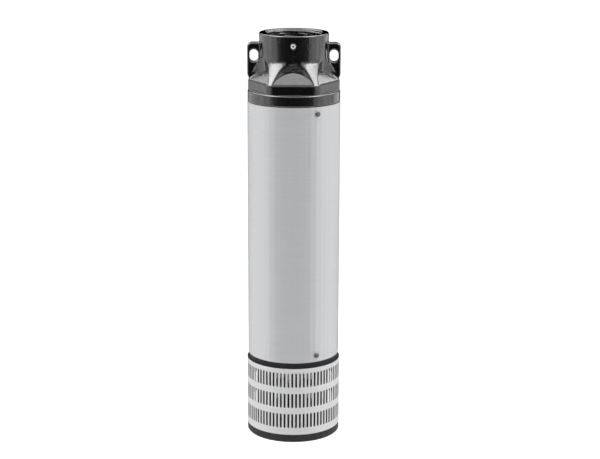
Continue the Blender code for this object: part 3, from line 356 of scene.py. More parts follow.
def grid_quads(inside, number):
    """The faces between the cells round each grid edge that crosses the surface."""
    quads = []
    for axis in range(3):
        size = inside.shape
        first, second = (axis + 1) % 3, (axis + 2) % 3
        low = [slice(1, None)] * 3
        high = [slice(1, None)] * 3
        low[axis] = slice(0, size[axis] - 1)
        high[axis] = slice(1, None)
        change = inside[tuple(low)] != inside[tuple(high)]
        places = np.argwhere(change)
        places[:, first] += 1
        places[:, second] += 1
        step_first = np.eye(3, dtype=int)[first]
        step_second = np.eye(3, dtype=int)[second]
        keep = (places[:, first] < size[first] - 1) & (places[:, second] < size[second] - 1)
        places = places[keep]
        corners = [
            places,
            places - step_first,
            places - step_first - step_second,
            places - step_second,
        ]
        quad = np.stack([number[tuple(corner.T)] for corner in corners], 1)
        outward = inside[tuple(places.T)]
        quad[~outward] = quad[~outward][:, ::-1]
        quads.append(quad)
    return np.concatenate(quads)


def slope_of(field, points, reach=0.01):
    """The slope of a field at some points."""
    slopes = []
    for axis in range(3):
        shift = np.zeros(3)
        shift[axis] = reach
        slopes.append((field(*(points + shift).T) - field(*(points - shift).T)) / (2 * reach))
    return np.stack(slopes, 1)


def mesh_field(name, field, low, high, step, keep, material):
    """A closed mesh on the zero surface of a field, thinned out where it is flat."""
    axes = [np.arange(a, b + step, step) for a, b in zip(low, high)]
    value = field(*np.meshgrid(*axes, indexing="ij"))
    inside, cells, number = grid_cells(value)
    points = crossing_points(value, cells) * step + np.array([axis[0] for axis in axes])
    for _ in range(ROUNDS_TO_SURFACE):
        slope = slope_of(field, points)
        length = np.maximum((slope ** 2).sum(1), FLATTEST_SLOPE)
        move = (field(*points.T) / length)[:, None] * slope
        points -= np.clip(move, -0.5 * step, 0.5 * step)
    item = new_object(name, points, grid_quads(inside, number).tolist())
    thin = item.modifiers.new("thin", "DECIMATE")
    thin.ratio = keep
    settle(item)
    finish_mesh(item, material)
    fine = item.data
    places = np.array([vertex.co for vertex in fine.vertices]) / MM
    slope = slope_of(field, places, reach=0.05)
    slope /= np.maximum(np.linalg.norm(slope, axis=1), 1e-6)[:, None]
    fine.normals_split_custom_set_from_vertices(slope.tolist())
    return item


def new_object(name, points, faces):
    """An object in the scene, from points in millimetres."""
    mesh = bpy.data.meshes.new(name)
    mesh.from_pydata((np.asarray(points) * MM).tolist(), [], faces)
    item = bpy.data.objects.new(name, mesh)
    bpy.context.scene.collection.objects.link(item)
    return item


def settle(item):
    """Turn the modifiers of an object into its mesh."""
    graph = bpy.context.evaluated_depsgraph_get()
    mesh = bpy.data.meshes.new_from_object(item.evaluated_get(graph))
    item.modifiers.clear()
    item.data = mesh


def finish_mesh(item, material):
    """Give a mesh one material and smooth faces."""
    item.data.materials.clear()
    item.data.materials.append(material)
    item.data.shade_smooth()
    return item


# Discharge head, in millimetres: heights, radii and half widths
SHELL_TOP, BAND_FOOT, CONE_FOOT, COLLAR_FOOT, RIM = 356.3, 367.8, 377.8, 399.5, 426.7
SKIRT_RADIUS, BAND_RADIUS, BAND_FLAT = 47.7, 47.1, 42.5
COLLAR_LOW_RADIUS, COLLAR_TOP_RADIUS = 34.8, 35.8
# A niche has its radius at the pivot's height, and narrows by the taper for each millimetre above
NICHE_RADIUS, NICHE_CENTRE, NICHE_SLOPE = 25.11, 57.0, 1.17
NICHE_TAPER, NICHE_PIVOT = 0.14, 383.0
EAR_REACH, EAR_HALF, EAR_TOP, EAR_CORNER = 47.9, 4.3, 416.5, 5.0
EAR_CHAMFER, EAR_FOOT_RISE, EAR_ROOT = 3.0, 0.5, 4.0
EYE_PLACE, EYE_HEIGHT, EYE_RADIUS, EYE_RISE = 41.1, 402.9, 4.5, 1.7
CHAMBER_RADIUS, THROAT_RADIUS, BORE_RADIUS, BORE_FOOT = 39.5, 26.0, 29.95, 400.7
FUNNEL_RADIUS, FUNNEL_TOP = CHAMBER_RADIUS - 1.75, CONE_FOOT + 9.3
THROAT_TOP = RIM + 5.0
MOUTH_FOOT, MOUTH_RISE = RIM - 0.9, 1.1
LOCK_DROP, LOCK_HOLE_RADIUS, LOCK_HOLE_END = 10.4, 3.0, -20.0
# How far the solids reach into each other before they are joined
OVERLAP, SMALL_OVERLAP = 2.0, 1.0
# Radii of rounded edges, and of the fillets between the solids
SKIRT_ROUND, BAND_ROUND, CONE_ROUND, RIM_ROUND = 1.6, 1.2, 0.8, 1.7
BAND_CORNER, CONE_CORNER, NICHE_ROUND = 0.4, 1.0, 1.3
EAR_ROUND, EAR_CHAMFER_ROUND, EYE_ROUND, BORE_ROUND = 2.2, 1.5, 1.8, 0.5
SKIRT_FILLET, BAND_FILLET, COLLAR_FILLET, NICHE_FILLET, EAR_FILLET = 0.4, 0.5, 2.0, 0.5, 1.6
# The grid of the head: its corners, its step for the final and the quick mesh, and the share of
# the faces that is kept
HEAD_LOW, HEAD_HIGH = (-50.6, -50.6, 335.6), (50.6, 50.6, 428.4)
HEAD_STEP, HEAD_STEP_QUICK, HEAD_KEEP = 0.75, 1.4, 0.4


def turned(r, z, points):
    """The field of a cone or cylinder side through two (r, z) points, solid on the axis side."""
    (r0, z0), (r1, z1) = points
    length = math.hypot(r1 - r0, z1 - z0)
    return ((r - r0) * (z1 - z0) - (z - z0) * (r1 - r0)) / length


def head_core(x, y, z, r):
    """Hexagon band, cone and collar."""
    flats = np.full(x.shape, -1e3)
    for turn in (30.0, 90.0, 150.0):
        angle = math.radians(turn)
        flats = np.maximum(flats, np.abs(x * math.cos(angle) + y * math.sin(angle)) - BAND_FLAT)
    band = soft_max(r - BAND_RADIUS, flats, BAND_CORNER)
    band = soft_max(band, slab(z, BAND_FOOT - OVERLAP, CONE_FOOT), BAND_ROUND)
    cone = turned(r, z, ((BAND_RADIUS, CONE_FOOT), (COLLAR_LOW_RADIUS, COLLAR_FOOT)))
    cone = np.maximum(cone, slab(z, BAND_FOOT, COLLAR_FOOT + OVERLAP))
    cone = soft_max(cone, r - BAND_RADIUS, CONE_ROUND)
    body = soft_min(band, soft_max(cone, flats, CONE_CORNER), BAND_FILLET)
    collar = turned(r, z, ((COLLAR_LOW_RADIUS, COLLAR_FOOT), (COLLAR_TOP_RADIUS, RIM)))
    collar = soft_max(collar, slab(z, BAND_FOOT, RIM), RIM_ROUND)
    return soft_min(body, collar, COLLAR_FILLET)


def cut_niches(body, x, y, z):
    """Scoop six niches out of the cone, each with a sloping floor."""
    for index in range(6):
        angle = math.radians(60.0 * index + 90.0)
        out = x * math.cos(angle) + y * math.sin(angle)
        side = y * math.cos(angle) - x * math.sin(angle)
        floor = CONE_FOOT + (BAND_FLAT - out) * NICHE_SLOPE - z
        floor = floor / math.hypot(1.0, NICHE_SLOPE)
        niche = np.hypot(out - NICHE_CENTRE, side) - NICHE_RADIUS + NICHE_TAPER * (z - NICHE_PIVOT)
        body = soft_max(body, -soft_max(niche, floor, NICHE_FILLET), NICHE_ROUND)
    return body


def add_ears(body, x, y, z):
    """Join the two ears to the head, and cut their rope eyes."""
    for sign in (-1.0, 1.0):
        out = sign * x
        corner = np.hypot(np.maximum(out - EAR_REACH + EAR_CORNER, 0),
                          np.maximum(z - EAR_TOP + EAR_CORNER, 0))
        ear = np.maximum(corner - EAR_CORNER, np.maximum(out - EAR_REACH, z - EAR_TOP))
        chamfer = (4 * (out - EAR_REACH + EAR_CHAMFER) - 3 * (z - CONE_FOOT - EAR_FOOT_RISE)) / 5
        ear = soft_max(ear, chamfer, EAR_CHAMFER_ROUND)
        ear = np.maximum(ear, CONE_FOOT - SMALL_OVERLAP - z)
        ear = np.maximum(ear, COLLAR_LOW_RADIUS - EAR_ROOT - out)
        ear = soft_max(ear, np.abs(y) - EAR_HALF, EAR_ROUND)
        body = soft_min(body, ear, EAR_FILLET)
        above = np.maximum(np.abs(z - EYE_HEIGHT) - EYE_RISE, 0)
        body = soft_max(body, -(np.hypot(out - EYE_PLACE, above) - EYE_RADIUS), EYE_ROUND)
    return body


def waterway(z, r):
    """The hollow of the head: valve chamber, funnel, throat, threaded bore and mouth."""
    chamber = np.maximum(r - CHAMBER_RADIUS, z - BAND_FOOT)
    funnel = turned(r, z, ((FUNNEL_RADIUS, BAND_FOOT), (THROAT_RADIUS, FUNNEL_TOP)))
    funnel = np.maximum(funnel, slab(z, BAND_FOOT - SMALL_OVERLAP, FUNNEL_TOP))
    throat = np.maximum(r - THROAT_RADIUS, slab(z, BAND_FOOT, THROAT_TOP))
    bore = np.maximum(r - BORE_RADIUS, BORE_FOOT - z)
    mouth = turned(r, z, ((BORE_RADIUS, MOUTH_FOOT), (BORE_RADIUS + MOUTH_RISE, MOUTH_FOOT + MOUTH_RISE)))
    mouth = np.maximum(mouth, MOUTH_FOOT - z)
    return np.minimum(np.minimum(chamber, funnel), np.minimum(throat, np.minimum(bore, mouth)))


def head_field(x, y, z):
    """The field of the whole head casting, below zero in the metal."""
    r = np.hypot(x, y)
    skirt = soft_max(r - SKIRT_RADIUS, slab(z, SHELL_TOP, BAND_FOOT), SKIRT_ROUND)
    body = cut_niches(head_core(x, y, z, r), x, y, z)
    body = add_ears(soft_min(body, skirt, SKIRT_FILLET), x, y, z)
    body = soft_max(body, -waterway(z, r), BORE_ROUND)
    lock = np.hypot(x, z - (RIM - LOCK_DROP)) - LOCK_HOLE_RADIUS
    return soft_max(body, -np.maximum(lock, y - LOCK_HOLE_END), BORE_ROUND)


# Pipe thread of the outlet, in millimetres
THREAD_PITCH, THREAD_CREST, THREAD_ROOT, THREAD_OUTSIDE = 2.309, 28.35, 29.81, 30.05
THREAD_FOOT, THREAD_TOP, THREAD_RUNOUT = 400.4, RIM - 1.2, 4.0
THREAD_FLANK, THREAD_FLAT = 1.25, 0.12
THREAD_SIDES, THREAD_LEVELS, THREAD_SHARP = 144, 96, 40.0


def make_thread(material):
    """Internal pipe thread of the outlet, as a ring whose bore is a helical groove."""
    angle = np.linspace(0, 2 * np.pi, THREAD_SIDES, endpoint=False)
    height = np.linspace(THREAD_FOOT, THREAD_TOP, THREAD_LEVELS)
    turn, z = np.meshgrid(angle, height, indexing="ij")
    phase = (z / THREAD_PITCH - turn / (2 * np.pi)) % 1.0
    groove = np.clip(np.abs(2 * phase - 1) * THREAD_FLANK - THREAD_FLAT, 0, 1)
    runout = np.clip((z - THREAD_FOOT) / THREAD_RUNOUT, 0, 1)
    radius = THREAD_CREST + (THREAD_ROOT - THREAD_CREST) * (1 - (1 - groove) * runout)
    bore = np.stack([radius * np.cos(turn), radius * np.sin(turn), z], -1)
    back = np.stack([THREAD_OUTSIDE * np.cos(turn), THREAD_OUTSIDE * np.sin(turn), z], -1)
    loops = np.concatenate([bore, back[:, [-1, 0]]], 1)
    count = loops.shape[1]
    index = np.arange(THREAD_SIDES * count).reshape(THREAD_SIDES, count)
    after = np.roll(index, -1, 0)
    faces = np.stack([index, np.roll(index, -1, 1), np.roll(after, -1, 1), after], -1)
    item = add_piece("outlet_thread", loops.reshape(-1, 3), faces.reshape(-1, 4).tolist(), material,
                     THREAD_SHARP)
    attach(item, "housing")


def make_head(material):
    step = HEAD_STEP
    head = mesh_field("head_casting", head_field, HEAD_LOW, HEAD_HIGH, step, HEAD_KEEP, material)
    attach(head, "housing")
    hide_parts("discharge_head")


# Strainer, in millimetres. The slots' mouths are broken by SLOT_BREAK
SLEEVE_OUTER, SLEEVE_INNER, SLEEVE_FOOT, SLEEVE_TOP = 49.1, 48.3, 8.5, 81.0
SLOTS_ROUND, SLOT_HALF_WIDTH, SLOT_HALF_HEIGHT, SLOT_CORNER = 76, 1.0, 7.8, 0.9
SLOT_ROWS = (23.8, 46.1, 68.4)
SLOT_BREAK, SLOT_CORNER_STEPS = 0.12, 4
WELD_REACH = 0.00001
NEAR = 1e-6


def slot_loop(half_width, half_height, corner, steps):
    """One slot's outline as offsets (across, up), anticlockwise from the middle of the right side."""
    points = [(half_width, 0.0)]
    corners = ((1, 1), (-1, 1), (-1, -1), (1, -1))
    for index, (across, up) in enumerate(corners):
        for step in range(steps + 1):
            turn = math.pi / 2 * (index + step / steps)
            points.append((
                across * (half_width - corner) + corner * math.cos(turn),
                up * (half_height - corner) + corner * math.sin(turn),
            ))
        if index == 1:
            points.append((-half_width, 0.0))
    return np.array(points)


def cell_loop(loop, half_width, half_height, corner):
    """The cell edge's point for each point of the slot's outline."""
    points = []
    side, top = SLOT_HALF_WIDTH - corner, SLOT_HALF_HEIGHT - corner
    for across, up in loop:
        turn = math.atan2(abs(up) - top, abs(across) - side)
        if abs(up) <= top + NEAR:
            reach, rise = half_width, abs(up)
        elif turn < math.pi / 4 - NEAR:
            reach, rise = half_width, top + (half_height - top) * math.tan(turn)
        else:
            share = 1.0 / math.tan(turn) if turn < math.pi / 2 - NEAR else 0.0
            reach, rise = side + (half_width - side) * share, half_height
        points.append((math.copysign(reach, across), math.copysign(rise, up)))
    return np.array(points)


def make_strainer(material, inside):
    """Punched sheet sleeve with three rows of slots, whose mouths are lightly broken."""
    edge = SLOT_BREAK
    loop = slot_loop(SLOT_HALF_WIDTH, SLOT_HALF_HEIGHT, SLOT_CORNER, SLOT_CORNER_STEPS)
    wide = slot_loop(SLOT_HALF_WIDTH + edge, SLOT_HALF_HEIGHT + edge, SLOT_CORNER + edge,
                     SLOT_CORNER_STEPS)
    pitch = 2 * math.pi / SLOTS_ROUND
    half_cell = math.pi * SLEEVE_OUTER / SLOTS_ROUND
    half_row = (SLOT_ROWS[1] - SLOT_ROWS[0]) / 2
    cell = cell_loop(loop, half_cell, half_row, SLOT_CORNER)
    vertices, faces = [], []

    def place(points, radius, turn, height):
        start = len(vertices)
        for across, up in points:
            angle = turn + across / SLEEVE_OUTER
            vertices.append((radius * math.cos(angle), radius * math.sin(angle), height + up))
        return list(range(start, len(vertices)))

    def strip(first, second):
        count = len(first)
        for index in range(count):
            after = (index + 1) % count
            faces.append((first[index], first[after], second[after], second[index]))

    for column in range(SLOTS_ROUND):
        turn = -math.pi / 2 + column * pitch
        for height in SLOT_ROWS:
            rings = [
                place(cell, SLEEVE_OUTER, turn, height),
                place(wide, SLEEVE_OUTER, turn, height),
                place(loop, SLEEVE_OUTER - edge, turn, height),
                place(loop, SLEEVE_INNER, turn, height),
                place(cell, SLEEVE_INNER, turn, height),
            ]
            for first, second in zip(rings, rings[1:]):
                strip(second, first)
        edge_points = sorted({round(across, 6) for across, up in cell
                              if abs(abs(up) - half_row) < NEAR})
        angles = [turn + across / SLEEVE_OUTER for across in edge_points]
        low, high = SLOT_ROWS[0] - half_row, SLOT_ROWS[-1] + half_row
        profiles = (
            [(SLEEVE_INNER, low), (SLEEVE_INNER, SLEEVE_FOOT + edge),
             (SLEEVE_INNER + edge, SLEEVE_FOOT), (SLEEVE_OUTER - edge, SLEEVE_FOOT),
             (SLEEVE_OUTER, SLEEVE_FOOT + edge), (SLEEVE_OUTER, low)],
            [(SLEEVE_OUTER, high), (SLEEVE_OUTER, SLEEVE_TOP - edge),
             (SLEEVE_OUTER - edge, SLEEVE_TOP), (SLEEVE_INNER + edge, SLEEVE_TOP),
             (SLEEVE_INNER, SLEEVE_TOP - edge), (SLEEVE_INNER, high)],
        )
        for profile in profiles:
            rows = []
            for angle in angles:
                start = len(vertices)
                vertices.extend((r * math.cos(angle), r * math.sin(angle), z) for r, z in profile)
                rows.append(list(range(start, len(vertices))))
            for first, second in zip(rows, rows[1:]):
                for low_end, high_end in zip(zip(first, second), zip(first[1:], second[1:])):
                    faces.append((*low_end, *reversed(high_end)))
    item = new_object("strainer_sleeve", vertices, faces)
    weld = item.modifiers.new("weld", "WELD")
    weld.merge_threshold = WELD_REACH
    settle(item)
    finish_mesh(item, material)
    # The inner faces take the darker second metal: painted shade inside the sleeve
    item.data.materials.append(inside)
    middle = MM * (SLEEVE_OUTER + SLEEVE_INNER) / 2
    for face in item.data.polygons:
        face.material_index = int(math.hypot(face.center.x, face.center.y) < middle)
    item.data.set_sharp_from_angle(angle=math.radians(SHARP_ANGLE))
    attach(item, "housing")
    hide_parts("strainer")


# Small pieces, in millimetres
def add_piece(name, vertices, faces, material, angle=SHARP_ANGLE):
    """A smooth object whose edges are sharp above an angle."""
    item = finish_mesh(new_object(name, vertices, faces), material)
    item.data.set_sharp_from_angle(angle=math.radians(angle))
    return item


def lathe(profile, sides, shape=None):
    """Add a ring, turned about Z from a closed outline of (radius, height) points, to a shape."""
    vertices, faces = shape or ([], [])
    start, count = len(vertices), len(profile)
    for side in range(sides):
        turn = 2 * math.pi * side / sides
        vertices.extend((r * math.cos(turn), r * math.sin(turn), z) for r, z in profile)
    for side in range(sides):
        here, there = start + side * count, start + (side + 1) % sides * count
        for index in range(count):
            after = (index + 1) % count
            faces.append((here + index, there + index, there + after, here + after))
    return vertices, faces


def block(shape, degrees, inner, outer, half_width, low, high):
    """Add a radial bar to a shape."""
    vertices, faces = shape
    start = len(vertices)
    turn = math.radians(degrees)
    for z in (low, high):
        for out, side in ((inner, -half_width), (outer, -half_width),
                          (outer, half_width), (inner, half_width)):
            x = out * math.cos(turn) - side * math.sin(turn)
            y = out * math.sin(turn) + side * math.cos(turn)
            vertices.append((x, y, z))
    for quad in ((3, 2, 1, 0), (4, 5, 6, 7), (0, 1, 5, 4), (1, 2, 6, 5), (2, 3, 7, 6), (3, 0, 4, 7)):
        faces.append(tuple(start + corner for corner in quad))
    return shape


# Outlines of turned pieces are lists of (radius, height). One that reaches the axis stops at AXIS
AXIS = 0.02
POPPET = (
    (AXIS, 338.0), (25.2, 338.0), (25.2, 339.8), (30.8, 339.8), (30.8, 338.0), (31.4, 338.0),
    (31.8, 338.4), (31.8, 342.3), (31.3, 343.0), (9.6, 346.1), (8.6, 346.3), (4.3, 346.3),
    (4.0, 346.6), (4.0, 378.9), (3.4, 379.5), (AXIS, 379.5),
)
POPPET_SIDES, POPPET_SHARP = 96, 25.0
GUIDE_RING = ((35.7, 362.8), (36.0, 362.5), (39.2, 362.5), (39.2, 367.5), (35.9, 367.5), (35.7, 367.3))
GUIDE_HUB = ((4.5, 362.5), (7.7, 362.5), (8.0, 362.8), (8.0, 376.0), (7.5, 376.5), (4.9, 376.5),
             (4.5, 376.1))
GUIDE_RING_SIDES, GUIDE_HUB_SIDES = 96, 48
ARM_INNER, ARM_OUTER, ARM_HALF_WIDTH, ARM_LOW, ARM_HIGH = 6.5, 37.0, 2.0, 363.0, 367.0
# The spring, from its centre line's low end to its high end
SPRING_LOW, SPRING_HIGH, COIL_RADIUS, WIRE_RADIUS = 347.3, 361.5, 7.0, 0.7
SPRING_TURNS, TURN_STEPS, WIRE_SIDES = 3, 40, 10


def make_poppet(brass):
    """The disc and stem of the non-return valve."""
    item = add_piece("valve_disc", *lathe(POPPET, POPPET_SIDES), brass, POPPET_SHARP)
    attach(item, "check_valve")
    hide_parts("valve_poppet")


def make_guide(brass):
    """The cage that guides the stem: a ring and a hub, joined by three arms."""
    guide = lathe(GUIDE_HUB, GUIDE_HUB_SIDES, lathe(GUIDE_RING, GUIDE_RING_SIDES))
    for index in range(3):
        guide = block(guide, 120.0 * index + 90.0, ARM_INNER, ARM_OUTER, ARM_HALF_WIDTH, ARM_LOW,
                      ARM_HIGH)
    item = add_piece("valve_guide_cage", *guide, brass)
    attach(item, "housing")
    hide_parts("valve_guide")


def make_spring(steel):
    """The valve's round wire spring, closed at its two ends."""
    vertices, faces = [], []
    steps = SPRING_TURNS * TURN_STEPS
    for step in range(steps + 1):
        turn = 2 * math.pi * step / TURN_STEPS
        height = SPRING_LOW + (SPRING_HIGH - SPRING_LOW) * step / steps
        for corner in range(WIRE_SIDES):
            angle = 2 * math.pi * corner / WIRE_SIDES
            radius = COIL_RADIUS + WIRE_RADIUS * math.cos(angle)
            vertices.append((radius * math.cos(turn), radius * math.sin(turn),
                             height + WIRE_RADIUS * math.sin(angle)))
    for step in range(steps):
        here, there = step * WIRE_SIDES, (step + 1) * WIRE_SIDES
        for corner in range(WIRE_SIDES):
            after = (corner + 1) % WIRE_SIDES
            faces.append((here + corner, there + corner, there + after, here + after))
    faces.append(tuple(range(WIRE_SIDES)))
    faces.append(tuple(steps * WIRE_SIDES + corner for corner in reversed(range(WIRE_SIDES))))
    item = add_piece("valve_spring_coil", vertices, faces, steel)
    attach(item, "housing")
    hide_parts("valve_spring")
    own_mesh(item)


# Lock screw, its face at height 0. Inside the socket the second material shows, a near black painted
# shade in the recess
LOCK_SCREW = ((AXIS, -6.5), (2.45, -6.5), (2.45, -0.4), (2.2, -0.1), (1.0, -0.1), (0.9, -0.2),
              (0.9, -2.5), (AXIS, -2.6))
LOCK_SCREW_SIDES, SOCKET_REACH, SOCKET_FLOOR = 40, 0.95, -3.0


def make_lock_screw(bright, dark):
    """The plated grub screw in the front of the collar."""
    item = add_piece("collar_lock_screw", *lathe(LOCK_SCREW, LOCK_SCREW_SIDES), bright)
    # The socket's faces take the near black second material: painted shade in the recess
    item.data.materials.append(dark)
    for face in item.data.polygons:
        middle = face.center
        shaded_socket = math.hypot(middle.x, middle.y) < MM * SOCKET_REACH and middle.z > MM * SOCKET_FLOOR
        face.material_index = int(shaded_socket)
    place = Matrix.Translation((0.0, -MM * COLLAR_TOP_RADIUS, MM * (RIM - LOCK_DROP)))
    item.matrix_world = place @ Matrix.Rotation(math.pi / 2, 4, "X")
    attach(item, "housing")
    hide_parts("riser_lock_screw")


# Slotted pan head screws, the underside of the head at height 0
SHANK_RADIUS, SHANK_LENGTH, SCREW_SIDES, SCREW_SHARP = 1.9, 5.0, 32, 40.0
HEAD_RADIUS, HEAD_EDGE, HEAD_BREAK = 2.9, 0.7, 0.15
DOME_RUN, DOME_RISE, DOME_SHARES = 0.9, 0.65, (0.25, 0.5, 0.75, 1.0)
DOME_FLAT = ((1.2, 1.39), (AXIS, 1.4))
SLOT_TURN, SLOT_REACH, SLOT_HALF, SLOT_FLOOR, SLOT_TOP = 45.0, 4.0, 0.35, 0.7, 3.0
# Each screw: its own name, the node it replaces, degrees from the front, seat radius and height
SCREWS = (
    ("lower_tube_screw", "lower_shell_screw", 31.0, 48.3, 94.1),
    ("upper_tube_screw", "upper_shell_screw", 31.0, 48.3, 349.2),
    ("sleeve_screw_right", "strainer_screw_right", 135.0, 49.4, 12.1),
    ("sleeve_screw_left", "strainer_screw_left", 225.0, 49.4, 12.1),
)


def make_screw(name, replaced, degrees_from_front, seat, height, material):
    """A slotted pan head screw on the side of the shell or the strainer."""
    profile = [
        (AXIS, -SHANK_LENGTH), (SHANK_RADIUS, -SHANK_LENGTH), (SHANK_RADIUS, 0.0),
        (HEAD_RADIUS - HEAD_BREAK, 0.0), (HEAD_RADIUS, HEAD_BREAK), (HEAD_RADIUS, HEAD_EDGE),
    ]
    for share in DOME_SHARES:
        profile.append((HEAD_RADIUS - DOME_RUN * share ** 2,
                        HEAD_EDGE + DOME_RISE * math.sin(math.pi / 2 * share)))
    profile.extend(DOME_FLAT)
    item = add_piece(name, *lathe(profile, SCREW_SIDES), material, SCREW_SHARP)
    bar = block(([], []), SLOT_TURN, -SLOT_REACH, SLOT_REACH, SLOT_HALF, SLOT_FLOOR, SLOT_TOP)
    cutter = add_piece("slot_cutter", *bar, material)
    groove = item.modifiers.new("groove", "BOOLEAN")
    groove.operation = "DIFFERENCE"
    groove.object = cutter
    groove.solver = "EXACT"
    settle(item)
    bpy.data.objects.remove(cutter, do_unlink=True)
    turn = math.radians(degrees_from_front - 90.0)
    outward = Vector((math.cos(turn), math.sin(turn), 0.0))
    place = Matrix.Translation(MM * (seat * outward + Vector((0, 0, height))))
    item.matrix_world = place @ outward.to_track_quat("Z", "Y").to_matrix().to_4x4()
    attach(item, "housing")
    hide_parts(replaced)


# Studio
def ramp(tree, value, stops):
    """A grey level read from a list of (place, level) stops."""
    node = tree.nodes.new("ShaderNodeValToRGB")
    points = node.color_ramp.elements
    for place, level in stops[1:-1]:
        points.new(place)
    for point, (place, level) in zip(points, stops):
        point.position = place
        point.color = (level, level, level, 1.0)
    tree.links.new(value, node.inputs["Fac"])
    return node.outputs["Color"]


def combined(tree, operation, first, second):
    """The result of a math operation on two values, each a number or another node's output."""
    node = tree.nodes.new("ShaderNodeMath")
    node.operation = operation
    for index, value in enumerate((first, second)):
        if isinstance(value, float):
            node.inputs[index].default_value = value
        else:
            tree.links.new(value, node.inputs[index])
    return node.outputs["Value"]


def room_level(tree):
    """The level of the room that glossy rays see: white, changed by its zones, and clouded."""
    where = tree.nodes.new("ShaderNodeTexCoord")
    parts = tree.nodes.new("ShaderNodeSeparateXYZ")
    tree.links.new(where.outputs["Generated"], parts.inputs["Vector"])
    across = combined(tree, "MULTIPLY", parts.outputs["X"], parts.outputs["X"])
    along = combined(tree, "MULTIPLY", parts.outputs["Y"], parts.outputs["Y"])
    reach = combined(tree, "SQRT", combined(tree, "ADD", across, along), 0.0)
    front = combined(tree, "DIVIDE", combined(tree, "MULTIPLY", parts.outputs["Y"], -0.5), reach)
    front = combined(tree, "ADD", front, 0.5)
    height = combined(tree, "MULTIPLY", combined(tree, "ADD", parts.outputs["Z"], 1.0), 0.5)

    def zone(stops_across, stops_upwards, extra=1.0):
        both = combined(tree, "MULTIPLY", ramp(tree, front, stops_across),
                        ramp(tree, height, stops_upwards))
        return combined(tree, "MULTIPLY", both, extra)

    dark = combined(tree, "ADD", zone(DARK_ACROSS, DARK_UPWARDS), zone(BACK_ACROSS, BACK_UPWARDS))
    light = combined(tree, "ADD", zone(BRIGHT_ACROSS, BRIGHT_UPWARDS, BRIGHT_EXTRA),
                     zone(TOP_ACROSS, TOP_UPWARDS, TOP_EXTRA))
    level = combined(tree, "ADD", combined(tree, "SUBTRACT", 1.0, dark), light)
    clouds = noise(tree, where.outputs["Generated"], CLOUD_SCALE, CLOUD_DETAIL, CLOUD_ROUGHNESS)
    return combined(tree, "MULTIPLY", level, spread(tree, clouds, CLOUD_LOW, CLOUD_HIGH))


def background(tree, strength):
    """A white background whose strength is a number or another node's output."""
    node = tree.nodes.new("ShaderNodeBackground")
    node.inputs["Color"].default_value = (1.0, 1.0, 1.0, 1.0)
    if isinstance(strength, float):
        node.inputs["Strength"].default_value = strength
    else:
        tree.links.new(strength, node.inputs["Strength"])
    return node.outputs["Background"]


def either(tree, chooser, first, second):
    """The first shader where the chooser is 0, and the second where it is 1."""
    node = tree.nodes.new("ShaderNodeMixShader")
    tree.links.new(chooser, node.inputs["Fac"])
    tree.links.new(first, node.inputs[1])
    tree.links.new(second, node.inputs[2])
    return node.outputs["Shader"]


def make_world():
    """White for the camera, the room's zones for glossy rays, and a plain level for the rest."""
    world = bpy.data.worlds.new("studio")
    bpy.context.scene.world = world
    world.use_nodes = True
    tree = world.node_tree
    tree.nodes.clear()
    output = tree.nodes.new("ShaderNodeOutputWorld")
    path = tree.nodes.new("ShaderNodeLightPath").outputs
    room = either(tree, path["Is Glossy Ray"], background(tree, ROOM_LIGHT),
                  background(tree, room_level(tree)))
    shown = combined(tree, "MAXIMUM", path["Is Camera Ray"], path["Is Transmission Ray"])
    tree.links.new(either(tree, shown, room, background(tree, 1.0)), output.inputs["Surface"])


def floor_shade(tree, height):
    """The level of the floor: a painted shadow, lower in the ellipse behind the object, and 1 round it.
    """
    where = tree.nodes.new("ShaderNodeTexCoord")
    mapping = tree.nodes.new("ShaderNodeMapping")
    mapping.vector_type = "TEXTURE"
    mapping.inputs["Location"].default_value = (*SHADE_PLACE, height)
    mapping.inputs["Scale"].default_value = (*SHADE_REACH, 1.0)
    tree.links.new(where.outputs["Object"], mapping.inputs["Vector"])
    reach = tree.nodes.new("ShaderNodeVectorMath")
    reach.operation = "LENGTH"
    tree.links.new(mapping.outputs["Vector"], reach.inputs[0])
    painted_shadow = spread(tree, reach.outputs["Value"], SHADE_LEVEL, 1.0, SHADE_CORE, SHADE_RIM)
    painted_shadow.node.interpolation_type = "SMOOTHSTEP"
    return painted_shadow


def make_floor():
    """A pale floor that reads as white to the camera, but for the painted shadow behind the object."""
    half, height = FLOOR_SIZE / 2, BOUNDS_BEFORE[0].z - FLOOR_DROP
    mesh = bpy.data.meshes.new("floor")
    corners = ((-half, -half), (half, -half), (half, half), (-half, half))
    mesh.from_pydata([(x, y, height) for x, y in corners], [], [(0, 1, 2, 3)])
    floor = bpy.data.objects.new("floor", mesh)
    bpy.context.scene.collection.objects.link(floor)
    material, tree, shader = new_material("floor", (FLOOR_GREY,) * 3, 0.9)
    shader.inputs["Specular IOR Level"].default_value = 0.0
    painted_shadow = floor_shade(tree, height)
    path = tree.nodes.new("ShaderNodeLightPath")
    glow = combined(tree, "MULTIPLY", path.outputs["Is Camera Ray"], FLOOR_GLOW)
    glow = combined(tree, "MULTIPLY", glow, painted_shadow)
    shader.inputs["Emission Color"].default_value = (1.0, 1.0, 1.0, 1.0)
    tree.links.new(glow, shader.inputs["Emission Strength"])
    tree.links.new(combined(tree, "MULTIPLY", painted_shadow, FLOOR_GREY), shader.inputs["Base Color"])
    mesh.materials.append(material)
    floor.visible_glossy = False


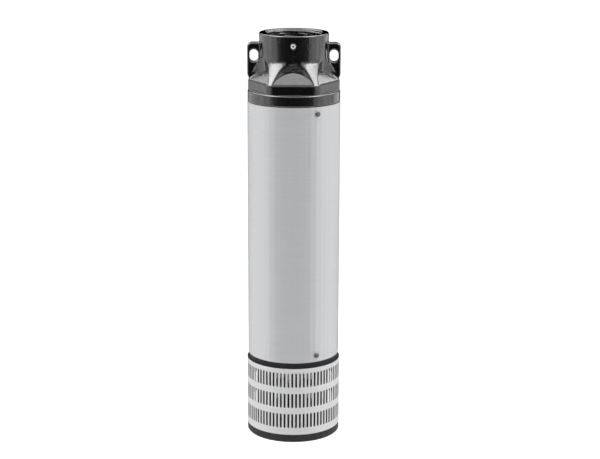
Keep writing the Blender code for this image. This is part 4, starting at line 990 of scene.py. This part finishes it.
def add_softbox(name, place, target, size, power):
    """A square light that glossy rays don't see."""
    light = bpy.data.lights.new(name, "AREA")
    light.shape = "RECTANGLE"
    light.size = size
    light.size_y = size
    light.energy = power
    item = bpy.data.objects.new(name, light)
    bpy.context.scene.collection.objects.link(item)
    item.location = place
    item.rotation_euler = (Vector(target) - Vector(place)).to_track_quat("-Z", "Y").to_euler()
    item.visible_glossy = False


def make_lights():
    """Two high softboxes in front of the object at its left and right, and one above it."""
    aim = Vector(LIGHTS_AIM)
    turn, rise = math.radians(SIDE_BOX_TURN), math.radians(SIDE_BOX_RISE)
    for side, name in ((-1.0, "left"), (1.0, "right")):
        way = Vector((side * math.cos(rise) * math.sin(turn), -math.cos(rise) * math.cos(turn),
                      math.sin(rise)))
        add_softbox("softbox_" + name, aim + SIDE_BOX_RANGE * way, aim, SIDE_BOX_SIZE,
                    SIDE_BOX_POWER)
    add_softbox("softbox_top", TOP_BOX_PLACE, aim, TOP_BOX_SIZE, TOP_BOX_POWER)


def make_camera():
    """The camera of the photograph."""
    data = bpy.data.cameras.new("camera")
    data.sensor_fit = "HORIZONTAL"
    data.sensor_width = SENSOR_WIDTH
    data.lens = CAMERA_LENS
    data.shift_x = CAMERA_SHIFT
    camera = bpy.data.objects.new("camera", data)
    bpy.context.scene.collection.objects.link(camera)
    turn = math.radians(CAMERA_AZIMUTH)
    place = (CAMERA_RANGE * math.sin(turn), -CAMERA_RANGE * math.cos(turn), CAMERA_HEIGHT)
    aim = Matrix.Rotation(turn, 4, "Z") @ Matrix.Rotation(math.pi / 2 - CAMERA_TILT, 4, "X")
    camera.matrix_world = Matrix.Translation(place) @ aim @ Matrix.Rotation(CAMERA_ROLL, 4, "Z")
    bpy.context.scene.camera = camera


def main():
    """Dress the CAD solids, add the finer pieces and build the studio."""
    bpy.context.scene.view_settings.view_transform = "Standard"
    finishes = dress_nodes()
    make_head(finishes["casting"])
    make_thread(finishes["casting"])
    make_strainer(finishes["sheet"], finishes["inside"])
    make_poppet(finishes["brass"])
    make_guide(finishes["brass"])
    make_spring(finishes["steel"])
    make_lock_screw(finishes["plated"], finishes["rubber"])
    for screw in SCREWS:
        make_screw(*screw, finishes["screw"])
    make_world()
    make_floor()
    make_lights()
    make_camera()


main()
